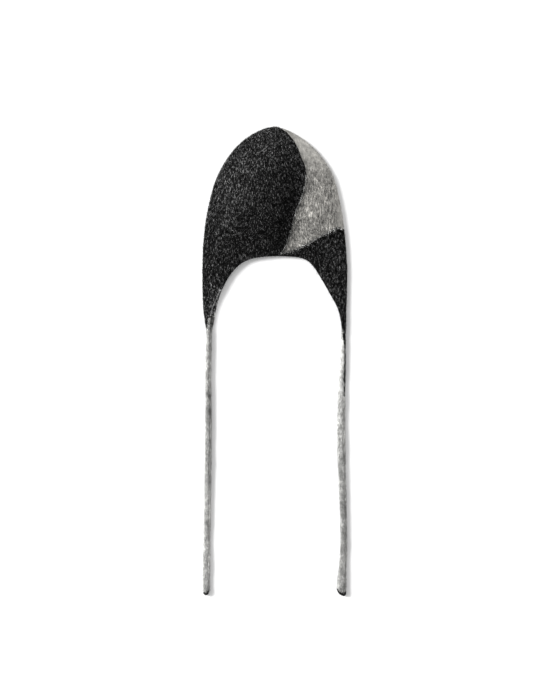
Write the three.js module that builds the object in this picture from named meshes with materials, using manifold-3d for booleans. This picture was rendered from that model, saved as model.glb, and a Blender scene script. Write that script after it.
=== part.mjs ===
// Earflap cap of thick felted wool knit, lying flat. A front and a back layer join along the folded outline, and
// are open along the arched brim. Two folded earflaps run out into long ties.
// Millimetres, +Z up from the surface it lies on, +Y towards the crown's top.
import * as THREE from "three";
import { mergeVertices } from "three/addons/utils/BufferGeometryUtils.js";
import Module from "manifold-3d";

// Knit
const WALL = 3; // one layer of felted knit
const EDGE_ROUND = 0.8; // how far the corners of a free edge stand back from its middle
const FIT_GAP = 0.3; // between neighbouring pieces

// Crown
const DOME_RISE = 30; // how far the front layer bulges above the folded edge
const DOME_REACH_LEFT = 84; // from the left fold to the ridge of the bulge
const DOME_REACH_RIGHT = 104; // the same from the right fold, so that the ridge lies left of the middle
const DOME_FULLNESS = 2.2; // 1 is a straight slope from the fold, and higher is rounder
const BRIM_FALL = 92; // distance above the brim over which the bulge flattens
const BRIM_LIFT = 0.13; // share of the bulge that is left at the brim, which keeps the mouth open

// Sections of the folded wool, from the left earflap's tip, over the crown, to the right earflap's tip. Each
// runs inwards from the fold to the brim. The setback is how far the front layer ends short of the back one.
const SECTIONS = named(
  ["foldX", "foldY", "brimX", "brimY", "foldHeight", "setback"],
  [
    [-104.2, -156.5, -95.5, -156.5, 7.2, 3],
    [-107, -141, -92.7, -141, 7.6, 5.4],
    [-109.6, -119.5, -88.9, -119.5, 8.2, 5],
    [-110.7, -91.5, -80.3, -91.5, 8.6, 1.2],
    [-109.9, -58, -65.5, -65.5, 9, 0],
    [-108.3, -19.5, -50, -50, 9, 0],
    [-102.4, 31.5, -36.2, -43.2, 9, 0],
    [-88.6, 82.5, -24, -40.6, 9, 0],
    [-62.4, 124.6, -11.6, -39.3, 9, 0],
    [-30.4, 151, -2.4, -38.7, 9, 0],
    [2.3, 159.3, 6.8, -38.5, 9, 0],
    [34.7, 147, 16.2, -38.8, 9, 0],
    [65.4, 123, 26.9, -39.5, 9, 0],
    [90, 88.5, 39.2, -40.6, 9, 0],
    [104.4, 39.5, 51.5, -44.7, 9, 0],
    [109.2, -14.5, 62.4, -54.8, 9, 0],
    [110.6, -53, 73.2, -71.5, 8.8, 0],
    [110.8, -88.5, 86.2, -94.6, 8.4, 0],
    [110.6, -119.5, 98.4, -119.5, 7.8, 0],
    [110.2, -141, 103.2, -141, 7.2, 0],
    [110, -159.3, 103.9, -159.3, 6.8, 0],
  ],
);
const STEPS_PER_SECTION = 3;
const LAYER_STEPS = 11; // across the front layer, from the fold to the brim
const FOLD_STEPS = 3; // round each quarter of the fold

// Light wedge, seen from the front. Its left side starts outside the crown and runs down a smooth seam to a kink,
// then down the knit to a point above the brim. Its lower side runs from there out over the right-hand fold.
const WEDGE_SEAM = named(
  ["x", "y"],
  [[-2, 166], [11.5, 158.5], [23.9, 147], [34.7, 131.8], [43.9, 108.5], [50.4, 81]],
);
const WEDGE_LEFT = named(
  ["x", "y"],
  [[50.4, 81], [47, 62.5], [42.4, 47], [33.1, 24], [28.5, 4], [23.4, -15.5], [14.6, -33.9]],
);
const WEDGE_LOWER = named(
  ["x", "y"],
  [[14.6, -33.9], [40.8, -25.4], [65.4, -11.6], [83.9, -2.2], [102.5, 4.6], [122, 0]],
);
const WEDGE_STEPS = 10; // along each stretch of its sides
const CROWN_CLEAR = { right: 130, top: 170, below: -5, above: 60 }; // box that the cut reaches, past the crown

// Ties, from the earflap's tip to the bound-off end
const LEFT_ROUTE = named(
  ["x", "y"],
  [
    [-99.3, -156.8], [-99.9, -172], [-100.8, -200], [-101.2, -230], [-100.8, -262],
    [-100.6, -292], [-101, -323], [-101.3, -353], [-101.5, -384], [-101.6, -415],
    [-101.9, -446], [-102.4, -477], [-103.3, -508], [-104, -532], [-104.2, -556.5],
  ],
);
const RIGHT_ROUTE = named(
  ["x", "y"],
  [
    [107, -159.6], [106.8, -174], [106.2, -200], [105.4, -230], [104.4, -262],
    [103.8, -292], [103.8, -323], [104.4, -353], [105.4, -384], [106.4, -415],
    [107, -446], [107.2, -477], [106.2, -508], [104.8, -532], [103.8, -552],
  ],
);
const TIE_WIDTH = 8.4;
const TIE_SIDES = 10;
const TIE_STEPS = 20;

// Bound-off ends, seen from above: a bar with round ends across the tie, which leans by some degrees
const END_HEIGHT = 6.6;
const END_CURVE_STEPS = 6;
const LEFT_END = { width: 6.8, length: 4.4, lean: 0 };
const RIGHT_END = { width: 12.6, length: 4.4, lean: -28 };

// Rows of a table as objects with a key for each column
function named(columns, rows) {
  return rows.map((row) => Object.fromEntries(columns.map((column, i) => [column, row[i]])));
}

// A smooth level curve through two columns of a table
function curveThrough(rows, xColumn, yColumn, height = 0) {
  const points = rows.map((row) => new THREE.Vector3(row[xColumn], row[yColumn], height));
  return new THREE.CatmullRomCurve3(points);
}

const wasm = await Module();
wasm.setup();

function toSolid(geometry) {
  const bare = geometry.clone();
  bare.deleteAttribute("normal");
  bare.deleteAttribute("uv");
  const merged = mergeVertices(bare, 1e-3);
  const mesh = new wasm.Mesh({
    numProp: 3,
    vertProperties: Float32Array.from(merged.attributes.position.array),
    triVerts: Uint32Array.from(merged.index.array),
  });
  return new wasm.Manifold(mesh);
}

function toGeometry(solid) {
  const mesh = solid.getMesh();
  const geometry = new THREE.BufferGeometry();
  geometry.setAttribute("position", new THREE.BufferAttribute(mesh.vertProperties, 3));
  geometry.setIndex(new THREE.BufferAttribute(mesh.triVerts, 1));
  geometry.computeVertexNormals();
  return geometry;
}

// How far the front layer bulges above the fold, at one inward distance from the fold and one from the brim
function bulge(fromFold, fromBrim, reach) {
  const rise = 1 - (1 - Math.min(fromFold / reach, 1)) ** DOME_FULLNESS;
  const fall = BRIM_LIFT + (1 - BRIM_LIFT) * THREE.MathUtils.smoothstep(fromBrim, 0, BRIM_FALL);
  return DOME_RISE * rise * fall;
}

// The outline of the folded wool in one section, as points of inward distance from the fold and height. It runs
// from the back layer's brim round the outside to the front layer's brim, and back through the inside. Point i
// lies across the wool from point size - 2 - i, and each free edge has one point of its own between them.
function foldOutline({ width, setback, foldHeight, reach }) {
  const half = foldHeight / 2;
  const bore = half - WALL;
  const frontWidth = width - setback;
  const layerStep = (frontWidth - EDGE_ROUND - half) / LAYER_STEPS;
  const lift = (along) => bulge(along, width - along, reach);
  const angles = Array.from({ length: FOLD_STEPS }, (_, step) => (step / FOLD_STEPS) * (Math.PI / 2));
  const layer = Array.from({ length: LAYER_STEPS + 1 }, (_, step) => half + step * layerStep);

  const underside = [[width - EDGE_ROUND, 0]];
  const lowerFold = angles.map((angle) => [half - half * Math.sin(angle), half - half * Math.cos(angle)]);
  const upperFold = angles.map((angle) => {
    const along = half - half * Math.cos(angle);
    return [along, half + half * Math.sin(angle) + lift(along)];
  });
  const top = layer.map((along) => [along, foldHeight + lift(along)]);
  const frontEdge = [[frontWidth, foldHeight + lift(frontWidth) - WALL / 2]];
  const ceiling = layer.toReversed().map((along) => [along, foldHeight - WALL + lift(along)]);
  const upperBore = angles.slice(1).map((angle) => {
    const share = 1 - Math.sin(angle);
    return [half - bore * Math.sin(angle), half + bore * Math.cos(angle) + lift(half) * share];
  });
  const lowerBore = angles.map((angle) => [half - bore * Math.cos(angle), half - bore * Math.sin(angle)]);
  const bottom = [[half, WALL], [width - EDGE_ROUND, WALL]];
  const backEdge = [[width, WALL / 2]];
  const outside = [...underside, ...lowerFold, ...upperFold, ...top];
  const inside = [...ceiling, ...upperBore, ...lowerBore, ...bottom];
  return [...outside, ...frontEdge, ...inside, ...backEdge];
}

// The outline in space at a place along the table, from 0 at the left earflap's tip to 1 at the right one
function sectionAt(place, curves) {
  const fold = curves.fold.getPoint(place);
  const brim = curves.brim.getPoint(place);
  const sizes = curves.sizes.getPoint(place);
  const width = fold.distanceTo(brim);
  const inwards = brim.clone().sub(fold).divideScalar(width);
  const reach = THREE.MathUtils.lerp(DOME_REACH_LEFT, DOME_REACH_RIGHT, place);
  const outline = foldOutline({ width, setback: Math.max(sizes.y, 0), foldHeight: sizes.x, reach });
  return outline.map(([along, height]) => fold.clone().addScaledVector(inwards, along).setZ(height));
}

// A closed skin through sections of equally many points, with a flat end at each side
function loft(sections) {
  const size = sections[0].length;
  const last = (sections.length - 1) * size;
  const index = [];
  const quad = (a, b, c, d) => index.push(a, b, c, a, c, d);
  for (let start = 0; start < last; start += size) {
    for (let point = 0; point < size; point += 1) {
      const beside = (point + 1) % size;
      quad(start + point, start + beside, start + size + beside, start + size + point);
    }
  }
  const frontEdge = size / 2 - 1;
  const backEdge = size - 1;
  for (let point = 0; point + 1 < frontEdge; point += 1) {
    const across = size - 2 - point;
    quad(point, across, across - 1, point + 1);
    quad(last + point, last + point + 1, last + across - 1, last + across);
  }
  for (const edge of [frontEdge, backEdge]) {
    const after = (edge + 1) % size;
    index.push(edge - 1, after, edge);
    index.push(last + edge - 1, last + edge, last + after);
  }
  const positions = sections.flat().flatMap((point) => point.toArray());
  const geometry = new THREE.BufferGeometry();
  geometry.setAttribute("position", new THREE.Float32BufferAttribute(positions, 3));
  geometry.setIndex(index);
  return geometry;
}

// The whole felted shell, crown and earflaps in one
function shellSolid() {
  const curves = {
    fold: curveThrough(SECTIONS, "foldX", "foldY"),
    brim: curveThrough(SECTIONS, "brimX", "brimY"),
    sizes: curveThrough(SECTIONS, "foldHeight", "setback"),
  };
  const steps = (SECTIONS.length - 1) * STEPS_PER_SECTION;
  return toSolid(loft(Array.from({ length: steps + 1 }, (_, step) => sectionAt(step / steps, curves))));
}

// A smooth side of the wedge, moved outwards across its own direction
function wedgeSide(rowsOfStretches, outwards) {
  const points = rowsOfStretches.flatMap((rows, stretch) =>
    curveThrough(rows, "x", "y")
      .getPoints((rows.length - 1) * WEDGE_STEPS)
      .slice(stretch > 0 ? 1 : 0),
  );
  return points.map((point, i) => {
    const before = points[Math.max(i - 1, 0)];
    const after = points[Math.min(i + 1, points.length - 1)];
    const along = after.clone().sub(before).normalize();
    return new THREE.Vector2(point.x + along.y * outwards, point.y - along.x * outwards);
  });
}

// A prism over the light wedge, through both layers
function wedgeSolid(outwards) {
  const { right, top, below, above } = CROWN_CLEAR;
  const leftSide = wedgeSide([WEDGE_SEAM, WEDGE_LEFT], outwards);
  const lowerSide = wedgeSide([WEDGE_LOWER], outwards);
  const corners = [new THREE.Vector2(right, lowerSide.at(-1).y), new THREE.Vector2(right, top)];
  const shape = new THREE.Shape([...leftSide, ...lowerSide, ...corners]);
  const prism = new THREE.ExtrudeGeometry(shape, { depth: above - below, bevelEnabled: false });
  return toSolid(prism.translate(0, 0, below));
}

// A round tube along the route, lying on one of its flats
function tieGeometry(route) {
  const flatRadius = TIE_WIDTH / 2;
  const cornerRadius = flatRadius / Math.cos(Math.PI / TIE_SIDES);
  const corners = Array.from({ length: TIE_SIDES }, (_, side) => {
    const angle = ((side + 0.5) / TIE_SIDES) * 2 * Math.PI;
    return new THREE.Vector2(cornerRadius * Math.cos(angle), cornerRadius * Math.sin(angle));
  });
  const extrudePath = curveThrough(route, "x", "y", flatRadius);
  const settings = { steps: TIE_STEPS, extrudePath, bevelEnabled: false };
  return new THREE.ExtrudeGeometry(new THREE.Shape(corners), settings);
}

// A bound-off bar just past the end of the route
function endGeometry({ width, length, lean }, route) {
  const corner = length / 2;
  const reach = width / 2 - corner;
  const shape = new THREE.Shape();
  shape.absarc(reach, 0, corner, -Math.PI / 2, Math.PI / 2);
  shape.absarc(-reach, 0, corner, Math.PI / 2, 1.5 * Math.PI);
  const settings = { depth: END_HEIGHT, bevelEnabled: false, curveSegments: END_CURVE_STEPS };
  const turn = THREE.MathUtils.degToRad(lean);
  const leanDrop = (Math.min(TIE_WIDTH, width - length) / 2) * Math.abs(Math.sin(turn));
  const end = route.at(-1);
  const bar = new THREE.ExtrudeGeometry(shape, settings).rotateZ(turn);
  return bar.translate(end.x, end.y - FIT_GAP - corner - leanDrop, 0);
}

function piece(name, geometry, color) {
  const mesh = new THREE.Mesh(geometry, new THREE.MeshStandardMaterial({ color, roughness: 1, metalness: 0 }));
  mesh.name = name;
  return mesh;
}

const shell = shellSolid();
const cap = new THREE.Group();
cap.name = "earflap_cap";
cap.add(
  piece("crown", toGeometry(shell.subtract(wedgeSolid(FIT_GAP))), "#2e2e2e"),
  piece("light_panel", toGeometry(shell.intersect(wedgeSolid(0))), "#9c9b98"),
  piece("left_tie", tieGeometry(LEFT_ROUTE), "#b4b4b1"),
  piece("right_tie", tieGeometry(RIGHT_ROUTE), "#b4b4b1"),
  piece("left_tie_end", endGeometry(LEFT_END, LEFT_ROUTE), "#232323"),
  piece("right_tie_end", endGeometry(RIGHT_END, RIGHT_ROUTE), "#232323"),
);

export default cap;
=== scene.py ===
"""Earflap cap of thick felted wool knit, lying flat with its two long ties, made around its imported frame.

A charcoal crown and a light grey wedge are cut from one folded, knitted shell. Each has its stitches as real
relief, a wall of the wool's true thickness, and loose fibres brushed up from the yarn. The ties are knitted
strips that curl into soft tubes, with dark bound-off ends.
"""

import logging
import math
from abc import ABC, abstractmethod
from collections.abc import Callable, Iterable, Sequence
from dataclasses import dataclass, field
from enum import Enum

import bmesh
import bpy
import numpy as np
from bmesh.types import BMesh
from bpy.types import ID, Material, Mesh, Node, NodeTree, Object
from mathutils import Matrix, Vector, noise
from mathutils.bvhtree import BVHTree
from mathutils.kdtree import KDTree


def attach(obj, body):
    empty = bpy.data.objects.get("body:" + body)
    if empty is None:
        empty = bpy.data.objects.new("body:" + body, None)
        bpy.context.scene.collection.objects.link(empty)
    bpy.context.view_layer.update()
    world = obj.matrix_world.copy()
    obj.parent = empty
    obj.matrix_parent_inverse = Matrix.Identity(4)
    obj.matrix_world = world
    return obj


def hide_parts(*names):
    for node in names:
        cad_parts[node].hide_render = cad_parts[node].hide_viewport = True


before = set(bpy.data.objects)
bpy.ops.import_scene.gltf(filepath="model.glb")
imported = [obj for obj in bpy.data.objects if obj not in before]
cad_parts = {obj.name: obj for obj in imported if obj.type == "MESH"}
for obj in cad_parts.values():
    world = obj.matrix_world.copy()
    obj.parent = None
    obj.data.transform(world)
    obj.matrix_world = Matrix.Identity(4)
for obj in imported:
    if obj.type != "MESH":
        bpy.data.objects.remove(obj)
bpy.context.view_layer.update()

LOG = logging.getLogger("earflap_cap")
MM = 0.001  # metres in a millimetre; shapes are worked out in millimetres and scaled once, when they are done
BODY = "root"

Array = np.ndarray
Table = tuple[tuple[float, ...], ...]


# Colours and yarns


def linear(hex_colour: str) -> tuple[float, float, float, float]:
    """Turns an sRGB hex colour into the linear one that a shader reads.

    Args:
        hex_colour: Six hex digits after a hash sign.

    Returns:
        Red, green, blue and an alpha of one.
    """
    parts = [int(hex_colour[i : i + 2], 16) / 255 for i in (1, 3, 5)]
    red, green, blue = (c / 12.92 if c <= 0.04045 else ((c + 0.055) / 1.055) ** 2.4 for c in parts)
    return (red, green, blue, 1.0)


@dataclass(frozen=True)
class Marl:
    """Colours of one marled yarn, from its darkest fibres to its lightest, as sRGB hex values."""

    deep: str
    body: str
    pale: str
    bright: str


class Yarn(Enum):
    """The yarns of the cap."""

    CHARCOAL = Marl(deep="#000000", body="#0c0c0c", pale="#1e1e1e", bright="#565656")
    LIGHT = Marl(deep="#363532", body="#8a8884", pale="#aba9a4", bright="#e8e5de")
    TIE = Marl(deep="#454542", body="#8f8f8d", pale="#acacaa", bright="#dcdcda")
    NEAR_BLACK = Marl(deep="#080808", body="#151515", pale="#2b2b2b", bright="#4c4c4c")


@dataclass(frozen=True)
class WoolFinish:
    """How one knitted wool looks: its yarns, and how its fibres break up the light.

    Attributes:
        name: The material's name.
        ground: The yarn that most of the piece is knitted in.
        second: The yarn that shows where the piece's second_yarn attribute is one.
        contrast: How far stitches and fibres differ in tone, from none at zero.
        sheen: Weight of the soft light that stands in the brushed nap.
    """

    name: str
    ground: Yarn
    second: Yarn
    contrast: float
    sheen: float

    # Streaks of fibre along the legs of the stitches. Real fibres are 0.02 mm thick, which is far too fine to
    # show, so that they are drawn as bundles this wide and long.
    bundle_width: float = 1.5
    bundle_length: float = 4.2
    # Nap: specks where the brushed fibres cross. Drawn coarser than the real 0.1 mm, so that they show.
    speck_size: float = 1.4
    shares: tuple[float, ...] = (0.08, 0.54, 0.38)  # of stitch, bundles and specks in a fibre's tone
    smooth_level: float = 0.56  # the tone's place between deep and bright where the wool is felted smooth
    mingling: tuple[float, float] = (0.62, 0.88)  # levels between which the second yarn takes over
    mingling_specks: float = 0.5  # how much the specks count in that level
    # Cloudy change of tone where the wool felted more or less, and how far it goes.
    cloud_size: float = 10.0
    cloud_depth: float = 0.28
    cloud_levels: tuple[float, float] = (0.3, 0.7)  # levels of the noise between which it changes
    finer_share: float = 0.6  # strength of each finer noise against the coarser one before it
    middle_stops: tuple[float, float] = (0.42, 0.68)  # where the yarn's body and pale colours lie
    # Boiled and brushed wool has no gloss of its own, so that it is as rough as the shader allows.
    roughness: float = 0.96
    specular: float = 0.02
    sheen_roughness: float = 0.55
    nap_depth: float = 0.35
    nap_strength: float = 0.6
    nap_shares: tuple[float, float] = (0.6, 0.4)  # of bundles and specks in its height

    def material(self) -> Material:
        """Makes the node material, which reads Object coordinates and the piece's own attributes.

        Returns:
            The material.
        """
        made = bpy.data.materials.new(self.name)
        made.use_nodes = True
        tree = made.node_tree
        tree.nodes.clear()
        place = add(tree, "ShaderNodeTexCoord")
        names = ("marl", "felted", "second_yarn", "tone")
        marl, felted, share, tone = (add(tree, "ShaderNodeAttribute", attribute_name=name) for name in names)
        bundles = self._pattern(tree, place, (self.bundle_width, self.bundle_length, self.bundle_width), 1.0)
        specks = self._pattern(tree, place, (self.speck_size,) * 3, 1.0)
        clouds = self._pattern(tree, place, (self.cloud_size,) * 3, 2.0)
        level = self._sum(tree, *zip((marl, bundles, specks), ("Fac", 0, 0), self.shares))
        reach = 0.5 / self.contrast
        rough = self._stretched(tree, level, (0.5 - reach, 0.5 + reach))
        swing = add(tree, "ShaderNodeMix", inputs={"B": self.smooth_level},
                    links={"Factor": (felted, "Fac"), "A": (rough, 0)})
        ground, second = (self._ramp(tree, swing, yarn.value) for yarn in (self.ground, self.second))
        other_yarn = self._sum(tree, (share, "Fac", 1.0), (specks, 0, self.mingling_specks))
        chosen = self._stretched(tree, other_yarn, self.mingling)
        yarn = add(tree, "ShaderNodeMix", data_type="RGBA",
                   links={"Factor": (chosen, 0), "A": (ground, 0), "B": (second, 0)})
        gains = (1 - self.cloud_depth, 1 + self.cloud_depth)
        cloudy = self._stretched(tree, clouds, self.cloud_levels, gains)
        depth = add(tree, "ShaderNodeMath", operation="MULTIPLY", links={0: (tone, "Fac"), 1: (cloudy, 0)})
        colour = add(tree, "ShaderNodeVectorMath", operation="SCALE",
                     links={"Vector": (yarn, "Result"), "Scale": (depth, 0)})
        height = self._sum(tree, *zip((bundles, specks), (0, 0), self.nap_shares))
        bump = add(tree, "ShaderNodeBump", links={"Height": (height, 0)},
                   inputs={"Strength": self.nap_strength, "Distance": self.nap_depth * MM})
        wool = add(tree, "ShaderNodeBsdfPrincipled", links={"Base Color": (colour, 0), "Normal": (bump, 0)},
                   inputs={"Roughness": self.roughness, "Specular IOR Level": self.specular,
                           "Sheen Weight": self.sheen, "Sheen Roughness": self.sheen_roughness})
        add(tree, "ShaderNodeOutputMaterial", links={"Surface": (wool, 0)})
        return made

    def _pattern(self, tree: NodeTree, place: Node, size: Sequence[float], detail: float) -> Node:
        """Adds noise whose grains have the given real size in millimetres along each axis.

        Args:
            tree: The node tree.
            place: The node of coordinates.
            size: The grains' sizes.
            detail: How many finer noises are laid over it.

        Returns:
            The noise's node.
        """
        scaled = add(tree, "ShaderNodeMapping", inputs={"Scale": [1 / (length * MM) for length in size]},
                     links={"Vector": (place, "Object")})
        inputs = {"Scale": 1.0, "Detail": detail, "Roughness": self.finer_share}
        return add(tree, "ShaderNodeTexNoise", inputs=inputs, links={"Vector": (scaled, 0)})

    def _sum(self, tree: NodeTree, *parts: tuple) -> Node:
        """Adds up weighted outputs, each given as its node, its output and its weight.

        Args:
            tree: The node tree.
            *parts: Node, output and weight of each.

        Returns:
            The node whose first output is the sum.
        """
        total = None
        for node, output, weight in parts:
            links = {0: (node, output)} if total is None else {0: (node, output), 2: (total, 0)}
            inputs = {1: weight, 2: 0.0}
            total = add(tree, "ShaderNodeMath", operation="MULTIPLY_ADD", inputs=inputs, links=links)
        return total

    def _stretched(self, tree: NodeTree, level: Node, start: tuple[float, float],
                   end: tuple[float, float] = (0.0, 1.0)) -> Node:
        """Adds a node that stretches one range of levels to another."""
        inputs = dict(zip(("From Min", "From Max", "To Min", "To Max"), (*start, *end)))
        return add(tree, "ShaderNodeMapRange", inputs=inputs, links={"Value": (level, 0)})

    def _ramp(self, tree: NodeTree, level: Node, marl: Marl) -> Node:
        """Adds a colour ramp from a yarn's darkest fibres to its lightest.

        Args:
            tree: The node tree.
            level: Node that tells how light the fibre is.
            marl: The yarn's colours.

        Returns:
            The ramp's node.
        """
        ramp = add(tree, "ShaderNodeValToRGB", links={"Fac": (level, 0)})
        stops = ramp.color_ramp.elements
        stops[0].color, stops[1].color = linear(marl.deep), linear(marl.bright)
        for position, colour in zip(self.middle_stops, (marl.body, marl.pale)):
            stops.new(position).color = linear(colour)
        return ramp


def add(tree: NodeTree, kind: str, inputs: dict | None = None, links: dict | None = None,
        **settings: object) -> Node:
    """Adds a node with its settings, its input values and its links.

    Args:
        tree: The node tree.
        kind: The node's type.
        inputs: Values by socket name or number.
        links: The node and output that feed each socket, by socket name or number.
        **settings: Properties of the node.

    Returns:
        The new node.
    """
    node = tree.nodes.new(kind)
    for name, value in settings.items():
        setattr(node, name, value)
    mixes_colours = kind == "ShaderNodeMix" and node.data_type == "RGBA"
    sockets = [s for s in node.inputs if s.enabled] if mixes_colours else node.inputs
    by_name = {s.name: s for s in reversed(sockets)}
    for key, value in (inputs or {}).items():
        (by_name[key] if isinstance(key, str) else sockets[key]).default_value = value
    for key, (source, output) in (links or {}).items():
        outputs = {s.name: s for s in source.outputs if s.enabled}
        start = outputs[output] if isinstance(output, str) else source.outputs[output]
        tree.links.new(start, by_name[key] if isinstance(key, str) else sockets[key])
    return node


# Lines in plan


SAME_POINT = 1e-4  # root of the distance under which a curve's points count as one
FINE_STEPS = 6000  # places that a line is measured at


class SmoothCurve:
    """A centripetal curve through points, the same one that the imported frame's outlines follow."""

    def __init__(self, points: Sequence[Sequence[float]]) -> None:
        """Keeps the points.

        Args:
            points: Two or more points of two or three numbers.
        """
        self.points = np.array(points, float)

    def at(self, places: Array) -> Array:
        """Gives points of the curve.

        Args:
            places: Places along it, from 0 at the first point to 1 at the last.

        Returns:
            One row for each place.
        """
        last = len(self.points) - 1
        scaled = np.clip(places, 0, 1) * last
        start = np.minimum(scaled.astype(int), last - 1)
        share = (scaled - start)[:, None]
        first, final = self.points[0], self.points[-1]
        padded = np.vstack([2 * first - self.points[1], self.points, 2 * final - self.points[-2]])
        before, here, there, after = (padded[start + step] for step in range(4))
        span = self._span(here, there)
        span = np.where(span < SAME_POINT, 1.0, span)
        lead, trail = self._span(before, here), self._span(there, after)
        lead = np.where(lead < SAME_POINT, span, lead)
        trail = np.where(trail < SAME_POINT, span, trail)
        leave = ((here - before) / lead - (there - before) / (lead + span) + (there - here) / span) * span
        arrive = ((there - here) / span - (after - here) / (span + trail) + (after - there) / trail) * span
        square = 3 * (there - here) - 2 * leave - arrive
        cube = 2 * (here - there) + leave + arrive
        return here + share * (leave + share * (square + share * cube))

    @staticmethod
    def _span(a: Array, b: Array) -> Array:
        """Root of the distance between points, which makes the curve centripetal."""
        return np.sqrt(np.linalg.norm(b - a, axis=1))[:, None]


def even_places(line: Callable[[Array], Array], spacing: float) -> Array:
    """Finds places that lie evenly along a line.

    Args:
        line: Gives points for places from 0 to 1.
        spacing: Distance between neighbours, in the line's own unit.

    Returns:
        The places, with both ends.
    """
    fine = np.linspace(0, 1, FINE_STEPS)
    steps = np.linalg.norm(np.diff(line(fine), axis=0), axis=1)
    along = np.concatenate([[0], np.cumsum(steps)])
    count = max(2, round(along[-1] / spacing) + 1)
    return np.interp(np.linspace(0, along[-1], count), along, fine)


def inside(outline: Array, points: Array) -> Array:
    """Tests which points lie inside a closed outline in plan.

    Args:
        outline: Its corners in order.
        points: The points to test.

    Returns:
        True for each point inside.
    """
    order = np.argsort(points[:, 1], kind="stable")
    heights = points[order, 1]
    within = np.zeros(len(points), bool)
    for (x, y), (next_x, next_y) in zip(outline, np.roll(outline, -1, axis=0)):
        first, last = np.searchsorted(heights, sorted((y, next_y)))
        passed = order[first:last]
        if len(passed):
            crossing = x + (points[passed, 1] - y) / (next_y - y) * (next_x - x)
            within[passed] ^= points[passed, 0] < crossing
    return within


def nearest_on(line: Array, points: Array) -> tuple[Array, Array]:
    """Finds the nearest point of a chain of closely spaced points.

    Args:
        line: The chain in plan.
        points: The points to measure from, in plan.

    Returns:
        For each point, the number of the chain's nearest point and the distance to it.
    """
    tree = KDTree(len(line))
    for number, (x, y) in enumerate(line):
        tree.insert((x, y, 0), number)
    tree.balance()
    found = np.array([tree.find((x, y, 0))[1:] for x, y in points]).reshape(-1, 2)
    return found[:, 0].astype(int), found[:, 1]


def distance_to(line: Array, points: Array) -> Array:
    """Measures how far points lie from a chain of closely spaced points, in plan."""
    return nearest_on(line, points)[1]


def straight(start: Array, end: Array, spacing: float) -> Array:
    """Gives the points between two ends, without the ends."""
    count = max(1, round(float(np.linalg.norm(end - start)) / spacing))
    return start + np.linspace(0, 1, count + 1)[1:-1, None] * (end - start)


# Numbers


def unit(rows: Array) -> Array:
    """Gives each row a length of one."""
    return rows / np.linalg.norm(rows, axis=1)[:, None]


def tangents(line: Array) -> Array:
    """Gives a line's direction at each of its points."""
    return unit(np.gradient(line, axis=0))


def smoothstep(value: Array, low: float, high: float) -> Array:
    """Rises smoothly from 0 at low to 1 at high."""
    share = np.clip((value - low) / (high - low), 0, 1)
    return share * share * (3 - 2 * share)


def noise_at(*place: Array | float) -> Array:
    """Gives smooth noise at places, whose x, y and z are arrays or single numbers."""
    return np.array([noise.noise(Vector(point)) for point in np.broadcast(*place)])


def turned_off(turn: Array, middle: Array | float) -> Array:
    """Gives how far angles are turned from a middle one, from minus pi to pi."""
    return (turn - middle + math.pi) % (2 * math.pi) - math.pi


def at_heights(table: Table, y: Array) -> list[Array]:
    """Interpolates a table at heights in plan. Its rows go down in plan and start with their height."""
    heights, *columns = np.array(table).T
    return [np.interp(-y, -heights, column) for column in columns]


# Knitting


HAIR = 1e-6  # keeps a point that lies on a stitch's border in one and the same stitch


def leg_height(across: Array, along: Array) -> Array:
    """Gives how far the two legs of a stitch stand out, from 0 to 1.

    Args:
        across: Place across the stitch, from -0.5 to 0.5.
        along: Place up the knitting, in stitches.

    Returns:
        Zero in the groove between two legs, and most in the middle of a leg.
    """
    leg = 1 - ((np.abs(across) - 0.25) / 0.25) ** 2
    return np.clip(leg, 0, 1) * (0.45 + 0.55 * np.sin(math.pi * (along % 1.0)))


def leg_tone(wale: Array, course: Array, right: Array, seed: int = 0) -> Array:
    """Gives each leg of each stitch a tone of its own, from 0 to 1."""
    return np.sin(wale * 12.9898 + course * 78.233 + right * 37.719 + seed) * 43758.5453 % 1.0


@dataclass(frozen=True)
class Gauge:
    """Size of one knitted stitch, and of the mesh that shows it, in millimetres.

    Attributes:
        wale: Width of a stitch.
        course: Height of a stitch.
        lean: How much higher a stitch's two legs end at its sides than they meet in its middle.
        depth: How far the legs stand out of the felt.
        columns: Mesh columns across a stitch.
        rows: Mesh rows up a stitch.
    """

    wale: float = 4.0
    course: float = 3.3
    lean: float = 3.2
    depth: float = 0.55
    columns: int = 4
    rows: int = 3

    def across(self, x: Array) -> Array:
        """Gives the distance from the middle of the stitch that holds x."""
        return x - (np.floor(x / self.wale + HAIR) + 0.5) * self.wale

    def rise(self, x: Array) -> Array:
        """Gives how much higher the stitches are at x than in their middle."""
        return self.lean * np.abs(self.across(x)) / (self.wale / 2)

    def relief(self, x: Array, y: Array) -> Array:
        """Gives how far the legs stand out, from 0 in a groove to the gauge's depth."""
        return self.depth * leg_height(self.across(x) / self.wale, (y - self.rise(x)) / self.course)

    def leg_tones(self, x: Array, y: Array) -> Array:
        """Gives the tones of the legs at points of the knitting."""
        course = np.floor((y - self.rise(x)) / self.course + HAIR)
        return leg_tone(np.floor(x / self.wale + HAIR), course, self.across(x) > HAIR)


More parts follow.
